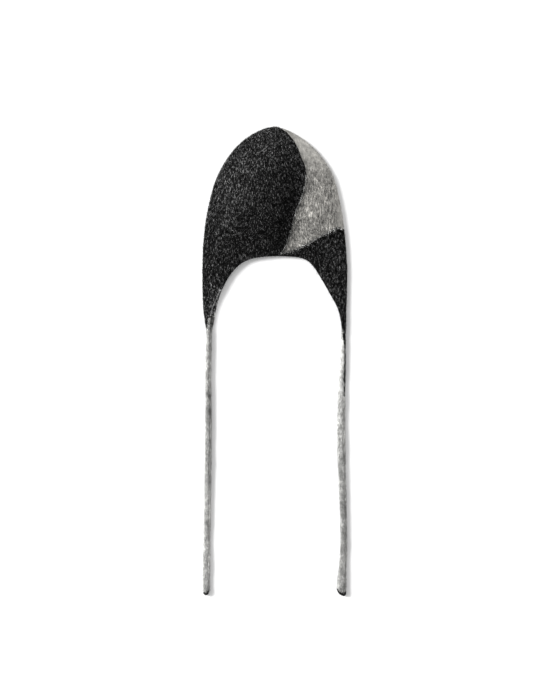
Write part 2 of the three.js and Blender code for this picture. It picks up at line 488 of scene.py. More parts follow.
def knitted_patch(outline: Array, gauge: Gauge, margin: float = 0.5) -> BMesh:
    """Makes a flat piece of knitting whose mesh follows its stitches out to a given outline.

    Args:
        outline: The outline in plan, with a point about every millimetre.
        gauge: The knitting.
        margin: How near the outline the whole cells of the mesh may come.

    Returns:
        A flat mesh in plan, with the outline as its edge.
    """
    width, height = gauge.wale / gauge.columns, gauge.course / gauge.rows
    low = np.floor(outline.min(axis=0) / (width, height)) - (1, 1 + gauge.lean // height)
    high = np.ceil(outline.max(axis=0) / (width, height)) + 1
    cells = (high - low).astype(int)
    bm = bmesh.new()
    bmesh.ops.create_grid(bm, x_segments=cells[0], y_segments=cells[1], size=1)
    bmesh.ops.scale(bm, vec=(cells[0] * width / 2, cells[1] * height / 2, 1), verts=bm.verts)
    middle = (low + high) / 2 * (width, height)
    bmesh.ops.translate(bm, vec=(*middle, 0), verts=bm.verts)
    plan = np.array([v.co.xy for v in bm.verts])
    plan[:, 1] += gauge.rise(plan[:, 0])
    for vertex, y in zip(bm.verts, plan[:, 1]):
        vertex.co.y = y
    ahead = np.roll(outline, -1, axis=0)
    dense = np.vstack([outline + share * (ahead - outline) for share in (0, 1 / 3, 2 / 3)])
    kept = inside(outline, plan)
    kept[kept] = distance_to(dense, plan[kept]) > margin
    bmesh.ops.delete(bm, geom=[v for v, keep in zip(bm.verts, kept) if not keep], context="VERTS")
    trim_pinches(bm)
    ragged = [edge for edge in bm.edges if edge.is_boundary]
    ring = [bm.verts.new((x, y, 0)) for x, y in outline]
    rim = [bm.edges.new((start, end)) for start, end in zip(ring, ring[1:] + ring[:1])]
    bmesh.ops.triangle_fill(bm, use_beauty=True, edges=ragged + rim, normal=(0, 0, 1))
    loose = [edge for edge in bm.edges if edge.is_wire]
    bmesh.ops.delete(bm, geom=loose, context="EDGES")
    return bm


def trim_pinches(bm: BMesh) -> None:
    """Takes away cells until none hangs on the rest by a corner or a single edge.

    Args:
        bm: The cells.
    """
    while True:
        bmesh.ops.delete(bm, geom=[v for v in bm.verts if not v.link_faces], context="VERTS")
        pinched = [v for v in bm.verts if sum(e.is_boundary for e in v.link_edges) > 2]
        if not pinched:
            return
        bmesh.ops.delete(bm, geom=pinched, context="VERTS")


# The folded shell


# Sections of the folded wool from the left earflap's tip to the right one's, in millimetres: x and y of the
# fold, x and y of the brim, the fold's height, and how far the front's edge is set back from the back's.
SECTIONS = (
    (-103.0, -156.5, -95.6, -156.5, 8.8, 2.4), (-105.8, -141, -92.4, -141, 9.2, 5.7),
    (-108.5, -119.5, -88.9, -119.5, 9.0, 5.2), (-109.6, -91.5, -80.1, -91.5, 8.4, 1.0),
    (-109.7, -58, -65.3, -65.5, 8.0, 0), (-108.3, -19.5, -50, -50.4, 7.8, 0),
    (-101.7, 31.2, -36.2, -43.7, 7.8, 0), (-87.5, 81.8, -24, -41.1, 7.8, 0),
    (-62, 123.7, -11.6, -39.8, 7.8, 0), (-30.3, 149.7, -2.4, -39.2, 7.6, 0), (2.3, 159.6, 6.8, -39, 7.4, 0),
    (34.7, 147, 16.2, -39.2, 7.2, 0), (65.4, 122.3, 26.9, -39.8, 6.7, 0), (89.2, 87.2, 38.6, -41.1, 6.5, 0),
    (102.2, 39.5, 50.6, -45.4, 6.7, 0), (109.6, -14.5, 61, -55.6, 7.6, 0), (112.2, -53, 71.8, -72, 7.9, 0),
    (112.2, -88.5, 85, -95, 8.2, 0), (111.2, -119.5, 98, -119.5, 8.8, 0), (110.8, -141, 103.4, -141, 9.2, 0),
    (110.3, -159.3, 104.4, -159.3, 9.4, 0),
)


@dataclass(frozen=True)
class Cuts:
    """Sections at many places: where each starts, which way it runs, and its sizes. One row is one place."""

    fold: Array
    inwards: Array
    width: Array
    half: Array
    front_width: Array
    reach: Array
    fullness: Array


@dataclass(frozen=True)
class FoldedWool:
    """Form of the felted shell as it lies, in millimetres: two layers that join along the folded outline.

    Attributes:
        wall: Thickness of one layer.
        dome_rise: How far the front layer bulges above the fold.
        reach_left: From the left fold to the ridge of the bulge.
        reach_right: The same from the right fold.
        fullness_left: 1 is a straight slope from the left fold, and higher is rounder.
        fullness_right: The same from the right fold.
        brim_fall: Distance above the brim over which the bulge flattens.
        brim_lift: Share of the bulge that is left at the brim.
        spacing: Distance between the points of the outlines.
        margin: How far the guide for heights reaches outside the fold. It reaches twice as far past the brim.
        fold_rings: Rings of the mesh from the front layer round the fold to the back one.
    """

    wall: float = 2.8
    dome_rise: float = 30.0
    reach_left: float = 84.0
    reach_right: float = 104.0
    fullness_left: float = 2.2
    fullness_right: float = 1.7
    brim_fall: float = 92.0
    brim_lift: float = 0.07
    spacing: float = 1.1
    margin: float = 2.0
    fold_rings: int = 12
    guide_steps: tuple[int, int] = (560, 56)  # points of the guide, along the fold and across

    def cuts(self, places: Array) -> Cuts:
        """Gives the sections at places from 0, the left earflap's tip, to 1, the right one's.

        Args:
            places: The places.

        Returns:
            The sections.
        """
        rows = np.array(SECTIONS)
        fold, brim, sizes = (SmoothCurve(rows[:, first : first + 2]).at(places) for first in (0, 2, 4))
        width = np.linalg.norm(brim - fold, axis=1)
        reach = self.reach_left + (self.reach_right - self.reach_left) * places
        fullness = self.fullness_left + (self.fullness_right - self.fullness_left) * places
        inwards, half = (brim - fold) / width[:, None], sizes[:, 0] / 2
        return Cuts(fold, inwards, width, half, width - np.maximum(sizes[:, 1], 0), reach, fullness)

    def lift(self, cuts: Cuts, along: Array) -> Array:
        """Gives how far the front layer bulges above the fold, at distances inwards from the fold.

        Args:
            cuts: The sections.
            along: One distance for each.

        Returns:
            One height for each section.
        """
        rise = 1 - (1 - np.clip(along / cuts.reach, 0, 1)) ** cuts.fullness
        fall = self.brim_lift + (1 - self.brim_lift) * smoothstep(cuts.width - along, 0, self.brim_fall)
        return self.dome_rise * rise * fall

    def front(self, places: Array, along: Callable[[Cuts], Array]) -> Array:
        """Gives points on top of the front layer, in space.

        Args:
            places: Places along the fold.
            along: Gives each section's distance inwards from the fold.

        Returns:
            One point for each place.
        """
        cuts = self.cuts(places)
        inwards = along(cuts)
        plan = cuts.fold + cuts.inwards * inwards[:, None]
        return np.column_stack([plan, 2 * cuts.half + self.lift(cuts, inwards)])

    def fold(self, places: Array, turn: float) -> Array:
        """Gives points round the fold, in space.

        Args:
            places: Places along the fold.
            turn: 0 on top, where the front layer starts, and pi underneath, where the back layer starts.

        Returns:
            One point for each place.
        """
        cuts = self.cuts(places)
        inwards = cuts.half * (1 - math.sin(turn))
        height = cuts.half * (1 + math.cos(turn))
        if turn < math.pi / 2:
            height = height + self.lift(cuts, inwards)
        return np.column_stack([cuts.fold + cuts.inwards * inwards[:, None], height])

    def line(self, along: Callable[[Cuts], Array]) -> Array:
        """Gives evenly spaced points of a line that follows the shell from tip to tip, in plan."""
        places = even_places(lambda p: self.front(p, along)[:, :2], self.spacing)
        return self.front(places, along)[:, :2]

    def guide(self) -> BVHTree:
        """Makes the smooth top of the front layer, and a little past its edges, for measuring heights on.

        Returns:
            The surface, ready for rays.
        """
        places, shares = (np.linspace(0, 1, count) for count in self.guide_steps)
        reach = 3 * self.margin
        rows = [
            self.front(places, lambda c, s=s: (c.half - self.margin) + s * (c.width + reach - c.half))
            for s in shares
        ]
        count = len(places)
        starts = (row * count + col for row in range(len(shares) - 1) for col in range(count - 1))
        corners = [(start, start + 1, start + count + 1, start + count) for start in starts]
        return BVHTree.FromPolygons(np.vstack(rows).tolist(), corners)


ABOVE = 200.0  # height that is above everything
BESIDE = 10.0  # about the fold's height, for points past the guide's edge


def height_on(guide: BVHTree, plan: Array) -> Array:
    """Measures the guide's height over points in plan.

    Args:
        guide: The guide.
        plan: The points.

    Returns:
        One height for each point.
    """
    heights = np.empty(len(plan))
    for number, (x, y) in enumerate(plan):
        hit = guide.ray_cast(Vector((x, y, ABOVE)), Vector((0, 0, -1)))[0]
        heights[number] = hit.z if hit else guide.find_nearest(Vector((x, y, BESIDE)))[0].z
    return heights


@dataclass(frozen=True)
class LightWedge:
    """Outline of the light wedge in plan, in millimetres.

    Its left side starts outside the crown and runs down a smooth seam to a kink, then down a side that waves
    from stitch to stitch to a point above the brim. From there its lower side runs out over the right-hand
    fold, with the stitches' points as teeth.
    """

    seam: tuple = ((-3, 166), (10.9, 158.5), (23.2, 147), (34, 131.8), (43, 109), (47.2, 99), (49.4, 85))
    left: tuple = (
        (49.4, 85), (48.4, 72), (46.4, 61.3), (41.2, 44.8), (35.2, 30.8), (30.8, 16.5), (26.8, 0),
        (23.2, -11.7), (18.8, -23.6), (15.0, -30.4), (11.4, -35.1),
    )
    lower: tuple = (
        (11.4, -35.1), (24, -31.6), (35.7, -28.3), (47.5, -22.5), (59.3, -16.5), (71.1, -9.6), (82.9, -3.3),
        (92.3, 2.2), (97.5, 4.6), (102.5, 3.4), (107.6, -2), (122, -14),
    )
    corner: tuple = (122, 170)  # outside the crown
    wave: float = 0.8  # how far the stitches' sides stand out along the left side
    tooth: float = 1.5  # how far their points stand out along the lower side
    unevenness: tuple[float, float] = (0.7, 9.0)  # how unevenly they do, and over what length
    fade: float = 3.0  # over which they set in at a side's ends
    middle: float = 60.0  # x that parts the border's start from its end
    start_gap: float = 0.3  # how far below the fold the border starts
    end_gap: float = 0.6  # how far inside the fold it ends
    fold_gap: float = 0.75  # the least distance between them, in spacings

    def side(self, points: tuple, spacing: float) -> Array:
        """Gives evenly spaced points along one of the wedge's sides."""
        curve = SmoothCurve(points)
        return curve.at(even_places(curve.at, spacing))

    def outline(self) -> Array:
        """Gives the wedge's smooth outline."""
        sides = [self.side(points, 2.0) for points in (self.seam, self.left, self.lower)]
        return np.vstack([*sides, [self.corner]])

    def edge(self, fold_line: Array, first: int, last: int, gauge: Gauge, spacing: float) -> Array:
        """Gives the whole border between the two colours, from the fold near the top to the right-hand fold.

        Args:
            fold_line: Where the front layer meets the fold, from tip to tip.
            first: Which of its points the border starts at.
            last: Which of its points the border ends at.
            gauge: The knitting.
            spacing: Distance between points.

        Returns:
            The border's points, with both ends.
        """
        seam = self.side(self.seam, spacing)
        left = self._toothed(self.left, gauge.course, self.wave, spacing)
        lower = self._toothed(self.lower, gauge.wale, self.tooth, gauge.wale / 4)
        line = np.vstack([seam, left[1:], lower[1:]])
        # What runs on outside the crown is left out, and so is what lies too near the fold.
        after_start = (line[:, 1] < fold_line[first, 1] - self.start_gap) | (line[:, 0] > self.middle)
        before_end = line[:, 0] < fold_line[last, 0] - self.end_gap
        clear = distance_to(fold_line, line) > self.fold_gap * spacing
        return np.vstack([fold_line[first], line[after_start & before_end & clear], fold_line[last]])

    def _toothed(self, points: tuple, period: float, depth: float, spacing: float) -> Array:
        """Gives one side with the points or the sides of its stitches standing out to both sides in turn.

        Args:
            points: The side's points.
            period: Length of one tooth.
            depth: How far the teeth stand out.
            spacing: Distance between points.

        Returns:
            The side's line.
        """
        line = self.side(points, spacing)
        along = np.arange(len(line)) * spacing
        swing = np.abs((along / period % 1.0) * 2 - 1) * 2 - 1
        uneven = 1 + self.unevenness[0] * noise_at(along / self.unevenness[1], period, depth)
        fade = np.minimum(1, np.minimum(along, along[::-1]) / self.fade)
        ahead = tangents(line)
        across = np.column_stack([-ahead[:, 1], ahead[:, 0]])
        return line + across * (depth * swing * uneven * fade)[:, None]


@dataclass(frozen=True)
class Field:
    """One colour's part of the shell: its outlines on the front and the back, and where it has the fold."""

    front: Array
    back: Array
    folds: tuple[tuple[int, int], ...]


@dataclass
class KnittedShell:
    """The whole folded shell, which the crown and the light wedge are cut from."""

    wool: FoldedWool = field(default_factory=FoldedWool)
    gauge: Gauge = field(default_factory=Gauge)
    wedge: LightWedge = field(default_factory=LightWedge)

    wave_height: float = 1.3  # soft unevenness of the felt as it lies
    wave_length: float = 48.0
    ripple_size: tuple[float, float] = (17.0, 23.0)  # of smaller waves, which are this share as high
    ripple_share: float = 0.3
    wave_slice: float = 3.7  # place in the noise
    ripple_slice: float = 9.1
    wave_start: tuple[float, float] = (0.5, 24.0)  # distances from the fold between which the waves set in
    seam_depth: float = 0.9  # of the dent along the sewn seam
    seam_width: float = 1.9
    tip_slant: float = 10.0  # how much further the wedge runs along the very edge at the top
    slant_reach: int = 26  # in points of the fold, on both sides of the wedge's start
    edge_roll: float = 0.95  # how far a free edge's outer corner is rolled in
    inner_roll: float = 0.8  # how far its inner corner is, as a share of that
    roll_width: tuple[float, float] = (-0.3, 2.2)  # distances from the edge between which the roll ends
    joined: float = 1.5  # distance from the other colour under which an edge isn't free
    brim_reach: tuple[float, float] = (6.0, 36.0)  # distances between which its direction fades from the nap
    fray: float = 0.58  # how far the border's other colour shows right at the border
    fray_width: float = 2.9
    weld: float = 0.2  # distance under which two points of neighbouring layers become one
    lying: float = 0.05  # height under which a face lies on the floor
    inner_share: float = 0.14  # of the inner faces that are left when they are thinned out

    def __post_init__(self) -> None:
        """Works out the lines that both colours share."""
        wool = self.wool
        self.guide = wool.guide()
        self.places = even_places(lambda p: wool.front(p, lambda c: c.half)[:, :2], wool.spacing)
        self.fold_line = wool.front(self.places, lambda c: c.half)[:, :2]
        self.front_brim = wool.line(lambda c: c.front_width)
        self.back_brim = wool.line(lambda c: c.width)
        light = np.flatnonzero(inside(self.wedge.outline(), self.fold_line))
        self.first, self.last = int(light[0]), int(light[-1])
        self.border = self.wedge.edge(self.fold_line, self.first, self.last, self.gauge, wool.spacing)
        self.seam = self.wedge.side(self.wedge.seam, 0.8)

    def dark_field(self) -> Field:
        """Gives the charcoal part.

        Returns:
            Its outlines and its stretches of the fold.
        """
        last = len(self.places) - 1
        return Field(self._dark_loop(self.front_brim), self._dark_loop(self.back_brim),
                     ((0, self.first), (self.last, last)))

    def light_field(self) -> Field:
        """Gives the light wedge."""
        loop = np.vstack([self.fold_line[self.first : self.last + 1], self.border[::-1][1:-1]])
        return Field(loop, loop, ((self.first, self.last),))

    def _dark_loop(self, brim: Array) -> Array:
        """Goes round the charcoal part of one layer.

        Args:
            brim: The layer's brim from tip to tip.

        Returns:
            Its outline.
        """
        spacing = self.wool.spacing
        left, right = self.fold_line[: self.first], self.fold_line[self.last + 1 :]
        return np.vstack([
            left, self.border, right,
            straight(self.fold_line[-1], brim[-1], spacing), brim[::-1],
            straight(brim[0], self.fold_line[0], spacing),
        ])

    def sheet(self, part: Field) -> BMesh:
        """Makes the outer surface of one colour's field, front, fold and back, as one welded sheet.

        Args:
            part: The field.

        Returns:
            The sheet.
        """
        sheet = self._layer(part.front, self._front_height)
        for stretch in part.folds:
            self._join(sheet, self._fold_strip(*stretch))
        self._join(sheet, self._layer(part.back, lambda plan: np.zeros(len(plan))))
        bmesh.ops.remove_doubles(sheet, verts=sheet.verts, dist=self.weld)
        bmesh.ops.recalc_face_normals(sheet, faces=sheet.faces)
        sheet.faces.ensure_lookup_table()
        top = max(sheet.faces, key=lambda face: face.calc_center_median().z)
        if top.normal.z < 0:
            bmesh.ops.reverse_faces(sheet, faces=sheet.faces)
        # A face that hangs on the rest by one corner may have been left facing inwards.
        below = [face for face in sheet.faces if face.calc_center_median().z < self.lying]
        bmesh.ops.reverse_faces(sheet, faces=[face for face in below if face.normal.z > 0])
        return sheet

    def _layer(self, loop: Array, height: Callable[[Array], Array]) -> BMesh:
        """Makes one layer of knitting inside a loop, at the height that a function gives.

        Args:
            loop: The loop in plan.
            height: Gives the height of points in plan.

        Returns:
            The layer.
        """
        bm = knitted_patch(loop, self.gauge)
        plan = np.array([v.co.xy for v in bm.verts])
        for vertex, z in zip(bm.verts, height(plan)):
            vertex.co.z = z
        return bm

    def _front_height(self, plan: Array) -> Array:
        """Gives the front layer's height, with its soft waves and the dent along the seam.

        Args:
            plan: Points in plan.

        Returns:
            One height for each point.
        """
        height = height_on(self.guide, plan)
        settled = smoothstep(distance_to(self.fold_line, plan), *self.wave_start)
        waves = noise_at(*(plan / self.wave_length).T, self.wave_slice)
        ripples = self.ripple_share * noise_at(*(plan / self.ripple_size).T, self.ripple_slice)
        dent = np.exp(-((distance_to(self.seam, plan) / self.seam_width) ** 2))
        return height + settled * (self.wave_height * (waves + ripples) - self.seam_depth * dent)

    def _fold_strip(self, first: int, last: int) -> BMesh:
        """Makes the outer surface round the fold, between two of its points.

        Args:
            first: Number of the first point.
            last: Number of the last one.

        Returns:
            The strip.
        """
        rings = self.wool.fold_rings
        bm = bmesh.new()
        bmesh.ops.create_grid(bm, x_segments=last - first, y_segments=rings, size=1)
        bm.verts.ensure_lookup_table()
        number = np.arange(first, last + 1)
        pull = np.maximum(0, 1 - np.abs(number - self.first) / self.slant_reach)
        slant = self.tip_slant / (self.wool.spacing * (len(self.places) - 1))
        for ring in range(rings + 1):
            turn = math.pi * ring / rings
            points = self.wool.fold(self.places[number] - slant * pull * math.sin(turn), turn)
            for vertex, point in zip(bm.verts[ring * len(number) :], points):
                vertex.co = point
        return bm

    @staticmethod
    def _join(target: BMesh, other: BMesh) -> None:
        """Moves one mesh's faces into another.

        Args:
            target: The mesh that grows.
            other: The mesh that is used up.
        """
        passing = new_mesh(other, "passing")
        target.from_mesh(passing)
        bpy.data.meshes.remove(passing)

    def knitting_plan(self, points: Array) -> Array:
        """Gives each point's place in the knitting, which runs on round the fold without a stretch.

        Args:
            points: Points of the outer surface.

        Returns:
            One place for each point, as if the fold were flat.
        """
        cuts = self.wool.cuts(self.places)
        place = points[:, :2].copy()
        nearest, _ = nearest_on(self.fold_line, place)
        outwards = -cuts.inwards[nearest]
        past = ((place - self.fold_line[nearest]) * outwards).sum(axis=1)
        half = cuts.half[nearest]
        turn = np.arcsin(np.clip(past / half, 0, 1))
        turn = np.where(points[:, 2] > half, turn, math.pi - turn)
        extra = np.where(past > 0.05, half * turn - past, 0)
        return place + outwards * extra[:, None]

    def grain(self, points: Array, draw: np.random.Generator) -> Array:
        """Gives the way that brushed fibres mostly lie: up the wales, and along the brim where it is near.

        Args:
            points: Where the fibres stand.
            draw: Source of the random draws.

        Returns:
            One direction for each point.
        """
        nearest, far = nearest_on(self.front_brim, points[:, :2])
        turned = draw.random(len(points)) < 1 - smoothstep(far, *self.brim_reach)
        ways = np.where(turned[:, None], tangents(self.front_brim)[nearest], [0.0, 1.0])
        return np.column_stack([ways, np.zeros(len(points))])

    def frayed(self, points: Array) -> Array:
        """Gives how far the other colour's fibres have worked in along the border below the seam.

        Args:
            points: Points of the piece.

        Returns:
            One share for each point.
        """
        near = distance_to(self.border, points[:, :2])
        below = points[:, 1] < self.wedge.left[0][1]
        return np.where(below, self.fray * (1 - smoothstep(near, 0, self.fray_width)), 0)

    def walled(self, part: Field, name: str) -> Mesh:
        """Gives one colour's field its thickness, its stitches and its rolled edges.

        Args:
            part: The field.
            name: The mesh's name.

        Returns:
            A closed mesh in millimetres, with the attributes marl and outer.
        """
        sheet = self.sheet(part)
        sheet.normal_update()
        count = len(sheet.verts)
        normals = np.array([v.normal for v in sheet.verts])
        at_edge = np.array([v.is_boundary for v in sheet.verts])
        thin = new_mesh(sheet, name + "_sheet")
        solid = applied(thin, "SOLIDIFY", thickness=self.wool.wall, offset=-1, use_rim=True,
                        use_even_offset=False, use_quality_normals=True)
        points = coordinates(solid)
        if len(points) != 2 * count:
            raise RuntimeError(f"{name}: its wall has {len(points)} points and not twice {count}")
        outer = points[:count]
        place = self.knitting_plan(outer)
        relief = self.gauge.relief(place[:, 0], place[:, 1])
        # The underside rests on its highest stitches, and elsewhere the stitches stand out evenly.
        level = self.gauge.depth * np.where(normals[:, 2] < 0, 0.5 - 0.5 * normals[:, 2], 0.5)
        roll = self._roll(outer[:, :2], outer[at_edge, :2])
        moved = relief - level - roll
        moved = np.where(normals[:, 2] < -0.5, np.minimum(moved, 0), moved)
        points[:count] += normals * moved[:, None]
        points[count:] += normals * (self.inner_roll * roll)[:, None]
        solid.vertices.foreach_set("co", points.astype(np.float32).ravel())
        set_attribute(solid, "marl", np.tile(self.gauge.leg_tones(place[:, 0], place[:, 1]), 2))
        set_attribute(solid, "outer", np.repeat([1.0, 0.0], count))
        inner = count + np.flatnonzero(~at_edge)
        ratio = 1 - len(inner) / (2 * count) * (1 - self.inner_share)
        return applied(solid, "DECIMATE", inner, decimate_type="COLLAPSE", ratio=ratio)

    def _roll(self, plan: Array, edge: Array) -> Array:
        """Gives how far the corners of the free edges are rolled in, and not those between the colours.

        Args:
            plan: Points in plan.
            edge: Those of them on edges.

        Returns:
            One distance for each point.
        """
        free = edge[distance_to(self.border, edge) > self.joined]
        if not len(free):
            return np.zeros(len(plan))
        near = distance_to(free, plan)
        return self.edge_roll * (1 - smoothstep(near, *self.roll_width))


# Meshes


def new_mesh(bm: BMesh, name: str) -> Mesh:
    """Makes a mesh of a bmesh, which is freed.

    Args:
        bm: The bmesh.
        name: The mesh's name.

    Returns:
        The mesh.
    """
    mesh = bpy.data.meshes.new(name)
    bm.to_mesh(mesh)
    bm.free()
    return mesh


def linked(name: str, data: ID) -> Object:
    """Makes an object in the scene.

    Args:
        name: The object's name.
        data: What it shows, such as a mesh or a light.

    Returns:
        The object.
    """
    made = bpy.data.objects.new(name, data)
    bpy.context.scene.collection.objects.link(made)
    return made


def applied(mesh: Mesh, kind: str, group: Iterable[int] = (), **settings: object) -> Mesh:
    """Applies one modifier to a mesh.

    Args:
        mesh: The mesh, which is removed.
        kind: The modifier's type.
        group: Vertices that the modifier is limited to, if any.
        **settings: The modifier's properties.

    Returns:
        The new mesh.
    """
    carrier = linked("carrier", mesh)
    modifier = carrier.modifiers.new(kind.lower(), kind)
    for name, value in settings.items():
        setattr(modifier, name, value)
    members = [int(number) for number in group]
    if members:
        carrier.vertex_groups.new(name="limit").add(members, 1.0, "REPLACE")
        modifier.vertex_group = "limit"
    bpy.context.view_layer.update()
    made = bpy.data.meshes.new_from_object(carrier.evaluated_get(bpy.context.evaluated_depsgraph_get()))
    bpy.data.objects.remove(carrier)
    bpy.data.meshes.remove(mesh)
    return made


def coordinates(mesh: Mesh) -> Array:
    """Gives a mesh's points, one row each.

    Args:
        mesh: The mesh.

    Returns:
        An array with three columns.
    """
    flat = np.empty(len(mesh.vertices) * 3, np.float32)
    mesh.vertices.foreach_get("co", flat)
    return flat.reshape(-1, 3).astype(float)


def set_attribute(mesh: Mesh, name: str, values: Array) -> None:
    """Writes one number for each vertex."""
    layer = mesh.attributes.get(name) or mesh.attributes.new(name, "FLOAT", "POINT")
    layer.data.foreach_set("value", np.asarray(values, np.float32))


def attribute(mesh: Mesh, name: str) -> Array:
    """Reads one number for each vertex, zero where none was written.

    Args:
        mesh: The mesh.
        name: The attribute's name.

    Returns:
        One number for each vertex.
    """
    values = np.zeros(len(mesh.vertices), np.float32)
    if name in mesh.attributes:
        mesh.attributes[name].data.foreach_get("value", values)
    return values.astype(float)


def show(mesh: Mesh, name: str, finish: Material, stands_for: str | None = None) -> Object:
    """Puts a finished mesh in the scene, in metres.

    Args:
        mesh: The mesh, in millimetres.
        name: The piece's name.
        finish: Its material.
        stands_for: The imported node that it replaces, if any.

    Returns:
        The piece.
    """
    mesh.transform(Matrix.Scale(MM, 4))
    mesh.shade_smooth()
    mesh.materials.clear()
    mesh.materials.append(finish)
    mesh.name = name
    piece = linked(name, mesh)
    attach(piece, BODY)
    if stands_for:
        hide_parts(stands_for)
    LOG.info("%s: %d faces", name, len(mesh.polygons))
    return piece


# Nap


@dataclass(frozen=True)
class Nap:
    """Loose fibres that brushing has raised from a piece, drawn thicker than real ones so that they show.

    Attributes:
        count: How many.
        length: Their usual length in millimetres.
        radius: Half their thickness in millimetres.
        lift: How far their middles rise from the surface, in millimetres.
        free: Share of them whose one end stands free.
        tone: Their lightness against the yarn, from and to.
        along: How strongly they follow the wales, from not at all at zero.
        seed: Start of the random draws.
    """

    count: int
    length: float
    radius: float
    lift: float
    free: float
    tone: tuple[float, float]
    along: float
    seed: int
    steps: int = 3
    lengths: tuple[float, float] = (0.5, 1.5)  # shortest and longest, as shares of the usual length
    lifts: tuple[float, float] = (0.3, 1.2)  # the same for the lift
    free_lift: tuple[float, float] = (2.0, 1.5)  # how high a free end stands, in lifts, and how late it rises
    bend: float = 0.28  # usual sideways bend, as a share of the length
    thinning: float = 0.75  # how much thinner the ends are than the middle, as a share
    sunk: float = 0.12  # how deep the ends lie in the surface, in millimetres
    root_height: float = 0.9  # lowest that fibres grow, in millimetres
    clearance: float = 0.02  # lowest that they reach

    def grow(self, base: Mesh, name: str,
             grain: Callable[[Array, np.random.Generator], Array] | None = None) -> Mesh:
        """Grows the fibres on the outer faces of a mesh.

        Args:
            base: The mesh in millimetres, with the attributes outer and tone.
            name: The new mesh's name.
            grain: Gives the way that fibres mostly lie at their roots, if not along Y.

        Returns:
            All fibres as one mesh, with the same attributes as the base.
        """
        draw = np.random.default_rng(self.seed)
        roots, normals, numbers = self._roots(base, draw)
        shape, faces = self._fibre()
        count = len(roots)
        ways = grain(roots, draw) if grain else np.tile([0.0, 1.0, 0.0], (count, 1))
        heading = draw.normal(size=(count, 3)) + self.along * ways * draw.choice([-1, 1], (count, 1))
        heading = unit(heading - (heading * normals).sum(axis=1)[:, None] * normals)
        across = np.cross(normals, heading)
        length = self.length * draw.uniform(*self.lengths, count)
        bend = draw.normal(0, self.bend, count) * length
        lift = self.lift * draw.uniform(*self.lifts, count)
        stands = draw.random(count) < self.free
        place = shape[:, 2]
        highest, late = self.free_lift
        arch = np.where(stands[:, None], place**late * highest, np.sin(math.pi * place))
        spine = (
            roots[:, None]
            + heading[:, None] * (length[:, None] * (place - 0.5))[:, :, None]
            + across[:, None] * (bend[:, None] * (place - 0.5) ** 2)[:, :, None]
            + normals[:, None] * (lift[:, None] * arch - self.sunk)[:, :, None]
        )
        taper = self.radius * (1 - self.thinning * np.abs(2 * place - 1) ** 2)
        points = spine + taper[:, None] * (across[:, None] * shape[:, :1] + normals[:, None] * shape[:, 1:2])
        points[:, :, 2] = np.maximum(points[:, :, 2], self.clearance)
        size = len(shape)
        corners = [tuple(start + c for c in face) for start in range(0, count * size, size) for face in faces]
        made = bpy.data.meshes.new(name)
        made.from_pydata(points.reshape(-1, 3).tolist(), [], corners)
        felted = attribute(base, "felted")[numbers]
        low, high = self.tone
        # Most fibres are near the yarn's own tone, and few are very light.
        tones = low + (high - low) * draw.random(count) ** 2
        per_fibre = {
            "marl": draw.random(count),
            "tone": attribute(base, "tone")[numbers] * (1 + (tones - 1) * (1 - felted)),
            "second_yarn": attribute(base, "second_yarn")[numbers],
            "felted": felted,
        }
        for key, values in per_fibre.items():
            set_attribute(made, key, np.repeat(values, size))
        return made

    def _roots(self, base: Mesh, draw: np.random.Generator) -> tuple[Array, ...]:
        """Draws points on the outer faces, with their normals and their nearest vertices.

        Args:
            base: The mesh.
            draw: Source of the random draws.

        Returns:
            The points, their normals and the numbers of their nearest vertices.
        """
        base.calc_loop_triangles()
        corners = np.empty(len(base.loop_triangles) * 3, np.int32)
        base.loop_triangles.foreach_get("vertices", corners)
        corners = corners.reshape(-1, 3)
        points = coordinates(base)
        outer = attribute(base, "outer") > 0.5
        high = points[corners][:, :, 2].max(axis=1) > self.root_height
        corners = corners[outer[corners].all(axis=1) & high]
        first, second, third = (points[corners[:, side]] for side in range(3))
        spread = np.cross(second - first, third - first)
        area = np.linalg.norm(spread, axis=1)
        chosen = draw.choice(len(corners), self.count, p=area / area.sum())
        u, v = draw.random((2, self.count, 1))
        u, v = np.where(u + v > 1, 1 - u, u), np.where(u + v > 1, 1 - v, v)
        roots = first[chosen] + u * (second - first)[chosen] + v * (third - first)[chosen]
        return roots, spread[chosen] / area[chosen][:, None], corners[chosen, 0]

    def _fibre(self) -> tuple[Array, list[tuple[int, ...]]]:
        """Makes one straight fibre with three sides, of radius one and from 0 to 1 along Z.

        Returns:
            Its points, and its faces as numbers of points.
        """
        bm = bmesh.new()
        bmesh.ops.create_circle(bm, cap_ends=True, segments=3, radius=1)
        bmesh.ops.reverse_faces(bm, faces=bm.faces)
        bm.faces.ensure_lookup_table()
        cap = bm.faces[0]
        for _ in range(self.steps):
            at_start = cap.calc_center_median().z == 0
            made = bmesh.ops.extrude_face_region(bm, geom=[cap], use_keep_orig=at_start)
            cap = next(item for item in made["geom"] if isinstance(item, bmesh.types.BMFace))
            bmesh.ops.translate(bm, vec=(0, 0, 1 / self.steps), verts=cap.verts)
        bmesh.ops.recalc_face_normals(bm, faces=bm.faces)
        bm.verts.index_update()
        shape = np.array([v.co for v in bm.verts])
        faces = [tuple(v.index for v in face.verts) for face in bm.faces]
        bm.free()
        return shape, faces


# Tone


def toned(points: Array, spots: Table) -> Array:
    """Multiplies up the gains of soft spots, rows of x, y, the reach along both, and the gain.

    Args:
        points: The points.
        spots: The spots.

    Returns:
        One tone for each point.
    """
    tone = np.ones(len(points))
    for x, y, reach_x, reach_y, gain in spots:
        far = ((points[:, 0] - x) / reach_x) ** 2 + ((points[:, 1] - y) / reach_y) ** 2
        tone *= 1 + (gain - 1) * np.exp(-far)
    return tone


# The cap's pieces


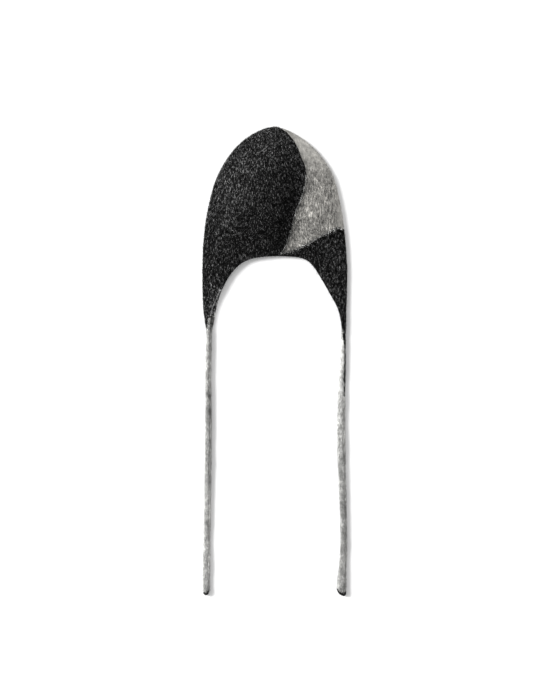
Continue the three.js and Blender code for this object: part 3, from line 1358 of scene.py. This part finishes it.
@dataclass
class FeltedPiece(ABC):
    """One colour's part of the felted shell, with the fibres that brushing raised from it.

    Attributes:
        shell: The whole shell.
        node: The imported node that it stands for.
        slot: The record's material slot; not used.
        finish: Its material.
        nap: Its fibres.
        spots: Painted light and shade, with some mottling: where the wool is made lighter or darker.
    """

    shell: KnittedShell
    node: str
    slot: str
    finish: WoolFinish
    nap: tuple[Nap, ...]
    spots: Table

    @abstractmethod
    def part(self) -> Field:
        """Gives the piece's field of the shell."""

    @abstractmethod
    def looks(self, points: Array) -> dict[str, Array]:
        """Gives the piece's attributes at points."""

    def build(self) -> None:
        """Makes the piece and its nap."""
        mesh = self.shell.walled(self.part(), self.node)
        for key, values in self.looks(coordinates(mesh)).items():
            set_attribute(mesh, key, values)
        material = self.finish.material()
        grain = self.shell.grain
        naps = [nap.grow(mesh, f"{self.node}_nap_{place}", grain) for place, nap in enumerate(self.nap, 1)]
        show(mesh, f"{self.node}_knit", material, self.node)
        for nap in naps:
            show(nap, nap.name, material)


@dataclass
class Crown(FeltedPiece):
    """The charcoal crown with its two earflaps."""

    node: str = "crown"
    slot: str = "charcoal_wool"
    # Boiled and brushed wool knit in charcoal marl. Its near-black fibres take in most of the light, and the
    # few grey ones that brushing has raised stand out as fine flecks, so that it looks dull and speckled.
    finish: WoolFinish = WoolFinish(
        "felted_charcoal_marl_wool", Yarn.CHARCOAL, Yarn.TIE, contrast=3.6, sheen=0.0, bundle_width=1.7,
        bundle_length=5.0
    )
    nap: tuple[Nap, ...] = (
        Nap(count=7500, length=7.0, radius=0.13, lift=0.6, free=0.12, tone=(1.0, 7.2), along=1.3, seed=11),
        Nap(count=7500, length=3.6, radius=0.12, lift=0.4, free=0.06, tone=(0.9, 5.4), along=0.6, seed=13),
    )
    # Painted light and shade: the first two darken the crown beside the wedge, where it slopes away from the
    # lamp, and the others make it lighter or darker where it faces the lamp more or less.
    spots: Table = (
        (20, 38, 18, 58, 0.52), (6, -12, 26, 30, 0.56), (-78, 72, 48, 72, 1.88), (-20, 132, 52, 38, 1.55),
        (-97, -112, 16, 40, 1.80), (60, -45, 45, 40, 0.85), (92, -34, 24, 30, 1.16),
    )
    # The charcoal of both earflaps ends in a point. Past these lines, rows of y and x, the wool is the tie's.
    left_turn: Table = ((-134.0, -100.1), (-149.4, -102.9))
    right_turn: Table = ((-150.5, 105.6), (-162.5, 108.2))
    # Painted highlight: the left earflap's front edge, where it catches the lamp, is painted as a pale line
    # from this height down.
    lit_edge_from: float = -84.0
    lit_edge_gain: float = 19.0
    lit_edge_reach: float = 16.0  # how much further down the painted highlight is at full strength
    lit_edge_width: tuple[float, float] = (0.5, 1.7)  # distances from the edge between which the line ends
    lit_edge_lowest: float = 4.8
    unevenness: tuple[float, float] = (0.5, 5.0)  # how uneven the line is, and how long its spots are
    clear: tuple[float, float] = (0.4, 1.6)  # distances from the tie's wool between which the line ends
    # Painted light on the back layer's inner face, which shows beside that edge in the front layer's shade:
    # its heights, its reach down and its gain.
    inner_heights: tuple[float, float] = (1.5, 4.5)
    inner_reach: float = 24.0
    inner_painted_light: float = 4.0
    # Tone of the tie's wool on the tip, on that inner face and elsewhere: rows of y and tone.
    dusk: Table = ((-136, 0.16), (-146, 0.26), (-160, 0.6))
    lit: Table = ((-136, 0.50), (-148, 0.52), (-160, 0.66))
    back_top: float = 4.2  # height under which the left tip's points belong to the back layer
    back_lead: float = 3.0  # how much higher up the back layer's wool is already the tie's

    def part(self) -> Field:
        """Gives the charcoal part."""
        return self.shell.dark_field()

    def looks(self, points: Array) -> dict[str, Array]:
        """Gives the tone with its painted light and shade, where other yarn shows on the tips and by the
        wedge, and the smooth painted highlight along the left earflap's front edge.

        Args:
            points: Points of the piece.

        Returns:
            The values of each attribute.
        """
        tips, edge_light = self._tips(points), self._lit_edge(points)
        return {
            "tone": toned(points, self.spots) * self._painted_edge_light(points, tips > 0.5, edge_light),
            "second_yarn": np.maximum(tips, self.shell.frayed(points)),
            # The painted highlight on the edge is also drawn felted smooth.
            "felted": edge_light,
        }

    def _tips(self, points: Array) -> Array:
        """Gives where the ties' yarn shows on the earflaps' tips.

        Args:
            points: Points of the piece.

        Returns:
            One where it shows, and zero elsewhere.
        """
        x, y, z = points.T
        start, end = (row[0] for row in self.left_turn)
        front = (y < start) & (x > at_heights(self.left_turn, y)[0])
        back_layer = (z < self.back_top) & (y < start + self.back_lead)
        left_tip = (x < 0) & ((y < end) | front | back_layer)
        right_tip = (x > 0) & (y < self.right_turn[0][0]) & (x < at_heights(self.right_turn, y)[0])
        return (left_tip | right_tip).astype(float)

    def _low(self, points: Array, reach: float) -> Array:
        """Gives how far points are down the left earflap, from 0 to 1 over the reach."""
        return smoothstep(-points[:, 1], -self.lit_edge_from, reach - self.lit_edge_from) * (points[:, 0] < 0)

    def _lit_edge(self, points: Array) -> Array:
        """Gives how far the left earflap's front edge is painted as a pale highlight.

        Args:
            points: Points of the piece.

        Returns:
            One share for each point, from 0 to 1.
        """
        near = distance_to(self.shell.front_brim, points[:, :2])
        upper = points[:, 2] > self.lit_edge_lowest
        return self._low(points, self.lit_edge_reach) * (1 - smoothstep(near, *self.lit_edge_width)) * upper

    def _painted_edge_light(self, points: Array, turned: Array, edge_light: Array) -> Array:
        """Gives the painted highlight along the left earflap's front edge, the painted light on the inner
        face that shows beside it, and the tie wool's tone on the tips.

        Args:
            points: The points.
            turned: Where the ties' yarn shows.
            edge_light: How far the edge is painted as a highlight.

        Returns:
            One tone for each point.
        """
        x, y, z = points.T
        clear = smoothstep(distance_to(points[turned][:, :2], points[:, :2]), *self.clear)
        inner_face = (z > self.inner_heights[0]) & (z < self.inner_heights[1])
        tie_tone = np.where(inner_face, at_heights(self.dusk, y)[0], at_heights(self.lit, y)[0])
        depth, size = self.unevenness
        uneven = 1 + depth * noise_at(x / size, y / size, 2)
        # Painted highlight on the edge, and painted light on the shaded inner face.
        gain = self.lit_edge_gain * edge_light + self.inner_painted_light * self._low(points, self.inner_reach) * inner_face
        return np.where(turned, tie_tone, 1 + clear * uneven * gain)


@dataclass
class LightPanel(FeltedPiece):
    """The light grey wedge that is knitted into the crown."""

    node: str = "light_panel"
    slot: str = "light_wool"
    # The same boiled and brushed knit in light grey marl. Its pale and mid-grey fibres lie in streaks along
    # the stitches, and light stands softly in the raised nap, so that it looks mottled and a little misty.
    finish: WoolFinish = WoolFinish(
        "felted_light_grey_marl_wool", Yarn.LIGHT, Yarn.CHARCOAL, contrast=3.4, sheen=0.25,
        bundle_width=1.8, bundle_length=9.0
    )
    nap: tuple[Nap, ...] = (
        Nap(count=2600, length=5.0, radius=0.14, lift=0.55, free=0.12, tone=(0.6, 1.7), along=1.3, seed=23),
    )
    # Painted light and shade, with real cloudy mottling among the smaller ones: lighter at the top, which
    # faces the lamp, and along the right-hand rim, where it catches light from the floor; darker low down.
    spots: Table = (
        (52, 130, 30, 36, 1.33), (36, -4, 60, 40, 0.58), (60, 60, 40, 30, 0.90), (112, 60, 12, 70, 1.75),
        (80, 80, 10, 13, 0.74), (82, 108, 9, 12, 1.28), (96, 86, 8, 16, 1.30), (53, 66, 12, 14, 0.76),
        (74, 42, 14, 12, 1.20), (52, 17, 14, 14, 1.20), (68, 5, 10, 9, 0.76), (38, -15, 14, 6, 1.25),
        (86, 7, 11, 6, 1.20),
    )
    border_shade: float = 0.56  # how much darker it is beside the charcoal: painted shade where the wool dips along the border, and the charcoal's fibres that lie over it
    shade_reach: float = 6.0
    shade_fade: tuple[float, float] = (100.0, 140.0)  # from where to where up the seam it fades
    shade_left: float = 0.3  # share of it that is left at the top
    smooth_top: tuple[float, float] = (60.0, 125.0)  # from where to where upwards it is felted smoother
    smooth_rim: tuple[float, float] = (86.0, 106.0)  # the same towards the right-hand fold
    smoothness: float = 0.75

    def part(self) -> Field:
        """Gives the light part."""
        return self.shell.light_field()

    def looks(self, points: Array) -> dict[str, Array]:
        """Gives the tone, the charcoal fibres along the border, and where the wool is felted smoother.

        Args:
            points: Points of the piece.

        Returns:
            The values of each attribute.
        """
        x, y, _ = points.T
        smooth = np.maximum(smoothstep(y, *self.smooth_top), smoothstep(x, *self.smooth_rim))
        return {
            "tone": toned(points, self.spots) * self._shaded(points),
            "second_yarn": self.shell.frayed(points),
            "felted": self.smoothness * smooth,
        }

    def _shaded(self, points: Array) -> Array:
        """Gives the tone beside the wedge's left border: painted shade where the wool dips along it, and the
        charcoal's fibres that lie over it.

        Args:
            points: Points of the piece.

        Returns:
            One tone for each point.
        """
        wedge = self.shell.wedge
        border = np.vstack([wedge.side(wedge.seam, 0.8), wedge.side(wedge.left, 0.8)])
        shade = self.border_shade * (1 - (1 - self.shade_left) * smoothstep(points[:, 1], *self.shade_fade))
        return 1 - shade * np.exp(-((distance_to(border, points[:, :2]) / self.shade_reach) ** 2))


# The ties


@dataclass(frozen=True)
class TiePlan:
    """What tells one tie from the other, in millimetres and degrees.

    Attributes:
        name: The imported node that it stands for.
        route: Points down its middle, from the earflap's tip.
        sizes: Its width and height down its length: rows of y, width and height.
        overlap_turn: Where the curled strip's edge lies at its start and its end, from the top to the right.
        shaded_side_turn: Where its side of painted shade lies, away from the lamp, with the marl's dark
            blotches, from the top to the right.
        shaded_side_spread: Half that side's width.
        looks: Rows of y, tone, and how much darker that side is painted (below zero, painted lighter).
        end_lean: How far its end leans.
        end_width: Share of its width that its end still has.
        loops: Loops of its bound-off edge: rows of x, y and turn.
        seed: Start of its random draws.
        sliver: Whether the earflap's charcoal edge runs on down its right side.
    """

    name: str
    route: Table
    sizes: Table
    overlap_turn: tuple[float, float]
    shaded_side_turn: float
    shaded_side_spread: float
    looks: Table
    end_lean: float
    end_width: float
    loops: Table
    seed: int
    sliver: bool = False


LEFT_TIE = TiePlan(
    name="left_tie",
    route=(
        (-99.7, -156.8), (-100.0, -172), (-100.8, -200), (-101.2, -230), (-100.8, -262), (-100.6, -292),
        (-101, -323), (-101.4, -353), (-101.7, -384), (-102.1, -415), (-102.8, -446), (-103.2, -477),
        (-103.6, -508), (-104.0, -532), (-103.8, -556.8),
    ),
    sizes=(
        (-156.8, 7.7, 8.7), (-164, 7.8, 9.0), (-260, 8.4, 9.0), (-353, 9.4, 9.0), (-415, 9.2, 8.3),
        (-446, 9.4, 8.0), (-477, 9.1, 8.0), (-530, 10.1, 8.5), (-556.8, 10.4, 9.2),
    ),
    overlap_turn=(28, 52),
    shaded_side_turn=44,
    shaded_side_spread=30,
    looks=(
        (-157, 0.78, 0.30), (-170, 1.08, 0.36), (-181, 1.00, 0.46), (-194, 1.10, 0.26), (-217, 1.22, 0.20),
        (-236, 1.18, 0.20), (-249, 0.92, 0.36), (-263, 0.92, 0.22), (-275, 0.66, 0.20), (-284, 0.60, 0.18),
        (-293, 0.80, -0.14), (-306, 0.90, -0.28), (-323, 0.92, 0.08), (-337, 0.98, 0.02), (-351, 1.02, 0.16),
        (-367, 0.90, 0.06), (-384, 0.86, -0.08), (-422, 1.06, -0.30), (-460, 0.88, -0.34),
        (-492, 1.14, -0.48), (-530, 1.12, -0.30), (-544, 1.00, -0.04), (-552, 0.92, 0.38), (-557, 0.92, 0.44),
    ),
    end_lean=0,
    end_width=0.56,
    loops=(
        (-106.6, -557.6, 50), (-104.5, -559.1, 92), (-102.3, -557.9, 130), (-101.3, -554.9, 166),
    ),
    seed=31,
)

RIGHT_TIE = TiePlan(
    name="right_tie",
    route=(
        (106.6, -159.6), (106.4, -174), (105.9, -200), (104.9, -230), (103.9, -262), (103.4, -292),
        (103.4, -323), (104.0, -353), (105.0, -384), (106.0, -415), (106.9, -446), (107.2, -477),
        (106.3, -508), (104.6, -532), (103.4, -555.9),
    ),
    sizes=(
        (-159.6, 6.2, 8.9), (-182, 7.1, 9.8), (-204, 8.0, 9.0), (-222, 9.2, 8.2), (-262, 10.6, 9.6),
        (-292, 11.3, 9.0), (-353, 11.6, 9.2), (-415, 9.7, 9.4), (-477, 9.3, 9.0), (-515, 10.6, 8.8),
        (-536, 13.2, 10.6), (-556, 13.6, 11.2),
    ),
    overlap_turn=(46, 60),
    shaded_side_turn=62,
    shaded_side_spread=28,
    looks=(
        (-159, 1.20, 0.00), (-168, 1.42, 0.00), (-180, 1.84, 0.00), (-199, 1.90, -0.10), (-220, 1.40, -0.30),
        (-248, 1.32, -0.50), (-262, 1.06, -0.42), (-276, 1.02, -0.10), (-292, 1.30, -0.26),
        (-310, 1.14, -0.38), (-330, 0.94, 0.00), (-346, 0.98, 0.06), (-362, 0.94, -0.14), (-384, 0.86, -0.34),
        (-404, 0.94, -0.38), (-418, 0.56, -0.48), (-430, 0.62, -0.54), (-446, 0.80, -0.46),
        (-470, 0.72, -0.52), (-492, 0.72, -0.42), (-522, 0.81, -0.40), (-536, 0.89, -0.34),
        (-556, 0.80, -0.22),
    ),
    end_lean=-22,
    end_width=0.62,
    loops=(
        (98.3, -551.8, 16), (99.7, -555.1, 30), (101.9, -557.9, 50), (104.6, -559.5, 70), (107.3, -560.3, 96),
        (109.2, -558.8, 140), (109.5, -556.0, 172),
    ),
    seed=37,
    sliver=True,
)


@dataclass
class Tie:
    """One tie: a narrow knitted strip that has curled into a soft tube, with its bound-off end."""

    plan: TiePlan
    finish: Material
    end_finish: Material

    fullness: float = 2.8  # 2 is a round tube, and higher is a flatter strip with rounded sides
    columns: int = 28  # of the mesh, round the tube: four for each wale
    wales: int = 7
    course: float = 3.3
    ring_step: float = 1.1
    lean: float = 2.4  # how far the legs of a stitch run on along the tie from its middle to its sides
    relief: float = 0.34
    groove: float = 0.28  # depth of the fold between the strip's overlapping edges, as a share of the radius
    groove_width: float = 0.34  # in radians
    overlap: float = 0.09  # how far one edge stands over the other, as a share of the radius
    sway: tuple[float, float] = (0.35, 16.0)  # how far the sides wander, and over what length, in millimetres
    drift: tuple[float, float] = (0.5, 38.0)  # how far the groove wanders, in radians, and over what length
    start_inside: float = 1.2  # how far the tie starts inside the earflap's tip
    end_round: float = 3.0
    end_height: float = 0.8  # share of its height that the end still has
    lean_reach: float = 18.0  # how far from the end the lean sets in
    # Mottling, coarse and fine: its strength, and the size of its spots across and down
    mottling: Table = ((0.24, 7.0, 20.0), (0.18, 2.6, 6.0))
    highlight_turn: float = 5.1  # radians from the top to the right where a highlight is painted on the left side's nap, which faces the lamp
    highlight_gain: float = 0.45
    highlight_spread: float = 0.5
    shaded_side_drift: tuple[float, float] = (0.25, 30.0)  # how far the side of painted shade wanders, and over what length
    blotch_length: float = 11.0
    blotch_edge: tuple[float, float] = (-0.3, 0.3)  # levels of the noise between which a blotch ends
    blotch_depth: tuple[float, float] = (0.7, 0.5)  # share of the painted shade beside the blotches, and more on them
    lowest: float = 0.05  # height of its underside
    weld: float = 0.01
    cord_diameter: float = 9.0
    loop_size: tuple[float, float, float] = (1.6, 2.5, 4.3)
    loop_unevenness: tuple[float, float] = (0.12, 0.9)  # its strength, and its waves against the loop's size
    loop_gap: float = 0.3  # between the loops and the floor

    # The charcoal edge that runs on from the right earflap down the tie's right side: rows of y, half its
    # width, and its middle from the top to the right, both in radians
    sliver: Table = (
        (-156, 1.25, 1.15), (-168, 1.15, 1.05), (-176, 0.50, 1.05), (-202, 0.24, 1.10), (-209, 0.60, 1.10),
        (-230, 0.60, 1.10), (-235, 0.0, 1.10), (-240, 0.24, 1.05), (-244, 0.36, 1.05), (-254, 0.24, 1.05),
        (-258, 0.0, 1.05),
    )
    sliver_under: Table = ((-196, 2.7), (-258, 1.05))  # how far round it runs on underneath
    sliver_strength: Table = ((-236, 1.0), (-258, 0.6))
    sliver_paling: Table = ((-172, 0), (-188, 1.5))  # how much lighter it gets under the other yarn's fibres
    sliver_unevenness: tuple[float, ...] = (0.5, 3.5, 2.2)  # its strength, length and place in the noise
    sliver_rim: tuple[float, float] = (0.85, 1.15)  # shares of its width between which it ends
    sliver_least: float = 0.02  # half-widths under this one don't show

    def build(self) -> None:
        mesh, centres = self._tube()
        nap = Nap(count=2400, length=4.4, radius=0.12, lift=0.8, free=0.25, tone=(0.85, 1.25), along=1.4,
                  seed=self.plan.seed)
        fibres = nap.grow(mesh, self.plan.name + "_nap")
        tie = show(mesh, self.plan.name + "_strip", self.finish, self.plan.name)
        fuzz = show(fibres, fibres.name, self.finish)
        end_name = self.plan.name + "_end"
        end = show(self._bound_off(), end_name + "_loops", self.end_finish, end_name)

    def _tube(self) -> tuple[Mesh, Array]:
        """Makes the curled strip.

        Returns:
            Its mesh in millimetres, and the centres of its rings.
        """
        curve = SmoothCurve(self.plan.route)
        centres = curve.at(even_places(curve.at, self.ring_step))
        ahead = tangents(centres)
        centres = np.vstack([centres[0] - ahead[0] * self.start_inside, centres])
        ahead = np.vstack([ahead[0], ahead])
        rings = len(centres)
        bm = bmesh.new()
        bmesh.ops.create_grid(bm, x_segments=self.columns, y_segments=rings - 1, size=1)
        turn = np.tile(np.arange(self.columns + 1) * 2 * math.pi / self.columns, rings)
        ring = np.repeat(np.arange(rings), self.columns + 1)
        points, leg_tones = self._surface(centres, ahead, ring, turn)
        for vertex, point in zip(bm.verts, points):
            vertex.co = point
        second, tone = self._sliver(points, turn), self._tone(points, turn)
        looks = {"marl": leg_tones, "second_yarn": second, "tone": tone}
        for key, values in looks.items():
            layer = bm.verts.layers.float.new(key)
            for vertex, value in zip(bm.verts, values):
                vertex[layer] = value
        bmesh.ops.remove_doubles(bm, verts=bm.verts, dist=self.weld)
        bmesh.ops.holes_fill(bm, edges=[edge for edge in bm.edges if edge.is_boundary], sides=0)
        bmesh.ops.recalc_face_normals(bm, faces=bm.faces)
        mesh = new_mesh(bm, self.plan.name)
        set_attribute(mesh, "outer", np.ones(len(mesh.vertices)))
        return mesh, np.column_stack([centres, at_heights(self.plan.sizes, centres[:, 1])[1] / 2])

    def _surface(self, centres: Array, ahead: Array, ring: Array,
                 turn: Array) -> tuple[Array, Array]:
        """Works out the tube's points.

        Args:
            centres: Middle of each ring, in plan.
            ahead: The tie's direction at each ring.
            ring: Which ring each point belongs to.
            turn: Each point's angle in radians, from the top to the right.

        Returns:
            The points, and a tone for the leg of the stitch that each lies on.
        """
        travelled = np.arange(len(centres)) * self.ring_step
        wale_turn = 2 * math.pi / self.wales
        within = (turn / wale_turn) % 1.0 - 0.5
        along = np.clip(travelled[ring] - self.lean * np.abs(within) * 2, 0, travelled[-1])
        relief = self.relief * (leg_height(within, travelled[ring] / self.course) - 0.5)
        centre, way = (
            np.column_stack([np.interp(along, travelled, rows[:, axis]) for axis in (0, 1)])
            for rows in (centres, ahead)
        )
        side = np.column_stack([-way[:, 1], way[:, 0]])
        side *= np.sign(side[:, :1])
        width, height = (size / 2 for size in at_heights(self.plan.sizes, centre[:, 1]))
        width = width + self.sway[0] * noise_at(along / self.sway[1], self.plan.seed, 0)
        start, end = (math.radians(angle) for angle in self.plan.overlap_turn)
        drift = self.drift[0] * noise_at(along / self.drift[1], self.plan.seed, 5)
        off = turned_off(turn, start + (end - start) * along / travelled[-1] + drift)
        notch = np.exp(-((off / self.groove_width) ** 2))
        radius = 1 - self.groove * notch + self.overlap * np.sign(off) * (1 - np.abs(off) / math.pi)
        left = travelled[-1] - along
        closing = np.sqrt(np.clip(left / self.end_round, self.plan.end_width**2, 1.0))
        height = height * (self.end_height + (1 - self.end_height) * closing)
        across, above = (
            np.sign(part) * np.abs(part) ** (2 / self.fullness) for part in (np.sin(turn), np.cos(turn))
        )
        out = (width * closing * radius + relief) * across
        up = (height * radius + relief) * above
        points = np.column_stack([centre + side * out[:, None], np.maximum(height + up, self.lowest)])
        lean = math.tan(math.radians(self.plan.end_lean)) * (1 - smoothstep(left, 0, self.lean_reach))
        points[:, 1] += out * lean
        wale = np.floor(turn / wale_turn + HAIR) % self.wales
        course = np.floor(travelled[ring] / self.course + HAIR)
        return points, leg_tone(wale, course, within > HAIR, self.plan.seed)

    def _sliver(self, points: Array, turn: Array) -> Array:
        """Gives where the charcoal yarn shows on the tie's right side.

        Args:
            points: Points of the tube.
            turn: Their angles in radians, from the top to the right.

        Returns:
            One share for each point.
        """
        if not self.plan.sliver:
            return np.zeros(len(points))
        y = points[:, 1]
        half_angle, middle = at_heights(self.sliver, y)
        under = at_heights(self.sliver_under, y)[0]
        off = np.where((turn > middle) & (turn < under), 0, np.abs(turned_off(turn, middle)))
        depth, length, place = self.sliver_unevenness
        reach = half_angle * (1 + depth * noise_at(-y / length, place, 0)) + 1e-3
        shown = (1 - smoothstep(off / reach, *self.sliver_rim)) * (half_angle > self.sliver_least)
        return at_heights(self.sliver_strength, y)[0] * shown

    def _tone(self, points: Array, turn: Array) -> Array:
        """Gives the mottling down the tie: lighter and darker stretches, painted shade with dark marl
        blotches along its side away from the lamp, and a painted highlight on the side facing it.

        Args:
            points: Points of the tube.
            turn: Their angles in radians, from the top to the right.

        Returns:
            One tone for each point.
        """
        plan, seed = self.plan, self.plan.seed
        x, y, _ = points.T
        mottled = sum((
            depth * noise_at(x / across, y / down, seed + 4 * number)
            for number, (depth, across, down) in enumerate(self.mottling)
        ), start=1.0)
        blotch = smoothstep(noise_at(y / self.blotch_length, seed, 8), *self.blotch_edge)
        drift = self.shaded_side_drift[0] * noise_at(y / self.shaded_side_drift[1], seed, 12)
        # Painted shade on the side away from the lamp, with the marl's blotches there; below zero that side
        # is painted lighter.
        off = turned_off(turn, math.radians(plan.shaded_side_turn) + drift)
        side = np.exp(-((off / math.radians(plan.shaded_side_spread)) ** 2))
        lit, dark = at_heights(plan.looks, y)
        # Painted highlight on the side that faces the lamp.
        rim = 1 + self.highlight_gain * np.exp(-(((turn - self.highlight_turn) / self.highlight_spread) ** 2))
        faded = 1 + self._sliver(points, turn) * at_heights(self.sliver_paling, y)[0]
        beside, more = self.blotch_depth
        return lit * mottled * faded * rim * (1 - dark * side * (beside + more * blotch))

    def _bound_off(self) -> Mesh:
        """Makes the dark edge: leaning loops that lie side by side round the tie's end.

        Returns:
            All loops as one mesh.
        """
        depth, waves = self.loop_unevenness
        bm = bmesh.new()
        for x, y, turn in self.plan.loops:
            ball = bmesh.ops.create_icosphere(bm, subdivisions=3, radius=1)["verts"]
            bmesh.ops.scale(bm, vec=self.loop_size, verts=ball)
            for vertex in ball:
                vertex.co *= 1 + depth * noise.noise(vertex.co * waves + Vector((x, y, 0)))
            leaning = Matrix.Rotation(math.radians(turn), 3, "Z")
            bmesh.ops.rotate(bm, cent=(0, 0, 0), matrix=leaning, verts=ball)
            bmesh.ops.translate(bm, vec=(x, y, self.loop_size[2] + self.loop_gap), verts=ball)
        mesh = new_mesh(bm, self.plan.name + "_end")
        for key, value in (("marl", 0.5), ("tone", 1.0), ("second_yarn", 0.0)):
            set_attribute(mesh, key, np.full(len(mesh.vertices), value))
        return mesh


# Camera, light and floor


@dataclass(frozen=True)
class Studio:
    """Where the cap is photographed: straight from above, on a pale floor, in soft light from the left.

    Attributes:
        centre: What the middle of the picture shows, in millimetres.
        frame_height: How much of the floor the picture's height shows, in millimetres.
        distance: Camera height, in millimetres.
    """

    centre: tuple[float, float] = (1.7, -173.5)
    frame_height: float = 1058.0
    distance: float = 3200.0
    sensor: float = 36.0
    sun_turn: float = 160.0  # degrees from +X, the side that the light comes from
    sun_height: float = 38.0
    sun_strength: float = 3.55
    sun_spread: float = 24.0
    sky: float = 0.72
    floor_size: float = 12.0
    floor_colour: str = "#f4f4f4"

    def set_camera(self) -> None:
        """Makes the camera, before anything else."""
        lens = bpy.data.cameras.new("camera")
        lens.sensor_width = self.sensor
        lens.lens = self.sensor * self.distance / self.frame_height
        lens.clip_start, lens.clip_end = 0.1, 50
        camera = linked("camera", lens)
        camera.location = (self.centre[0] * MM, self.centre[1] * MM, self.distance * MM)
        bpy.context.scene.camera = camera

    def light(self) -> None:
        """Sets the light, the floor and the plain way in which the picture shows them."""
        sun = bpy.data.lights.new("soft_key", "SUN")
        sun.energy, sun.angle = self.sun_strength, math.radians(self.sun_spread)
        turn, height = math.radians(self.sun_turn), math.radians(self.sun_height)
        level = math.cos(height)
        towards = Vector((math.cos(turn) * level, math.sin(turn) * level, math.sin(height)))
        linked("soft_key", sun).rotation_euler = towards.to_track_quat("Z", "Y").to_euler()
        scene = bpy.context.scene
        scene.world = bpy.data.worlds.new("studio_fill")
        scene.world.use_nodes = True
        sky = scene.world.node_tree.nodes["Background"].inputs
        sky["Color"].default_value, sky["Strength"].default_value = (1, 1, 1, 1), self.sky
        scene.view_settings.view_transform = "Standard"
        self._floor()

    def _floor(self) -> None:
        """Makes the plain floor."""
        bm = bmesh.new()
        bmesh.ops.create_grid(bm, x_segments=1, y_segments=1, size=self.floor_size / 2)
        mesh = new_mesh(bm, "floor")
        # Matt white paper scatters all light evenly, so that the floor is plain white with soft shadows.
        paper = bpy.data.materials.new("matt_white_paper")
        paper.use_nodes = True
        surface = paper.node_tree.nodes["Principled BSDF"].inputs
        surface["Base Color"].default_value = linear(self.floor_colour)
        surface["Roughness"].default_value = 1.0
        surface["Specular IOR Level"].default_value = 0.0
        mesh.materials.append(paper)
        linked("floor", mesh)


def main() -> None:
    """Builds the cap piece by piece, and its studio."""
    logging.basicConfig(level=logging.INFO, format="%(name)s: %(message)s")
    studio = Studio()
    studio.set_camera()
    # Felted knit in pale grey marl: matt, with lighter and darker stretches where the marled yarn changes.
    tie_wool = WoolFinish("felted_pale_grey_marl_wool", Yarn.TIE, Yarn.CHARCOAL, 1.8, 0.06).material()
    # The last row is bound off tightly in near-black wool, so that the end looks dense and almost unlit.
    bound_off = WoolFinish("tight_bound_off_near_black_wool", Yarn.NEAR_BLACK, Yarn.NEAR_BLACK, 1.4, 0.04)
    end_wool = bound_off.material()
    for plan in (LEFT_TIE, RIGHT_TIE):
        Tie(plan, tie_wool, end_wool).build()
    shell = KnittedShell()
    Crown(shell).build()
    LightPanel(shell).build()
    studio.light()


if __name__ == "__main__":
    main()
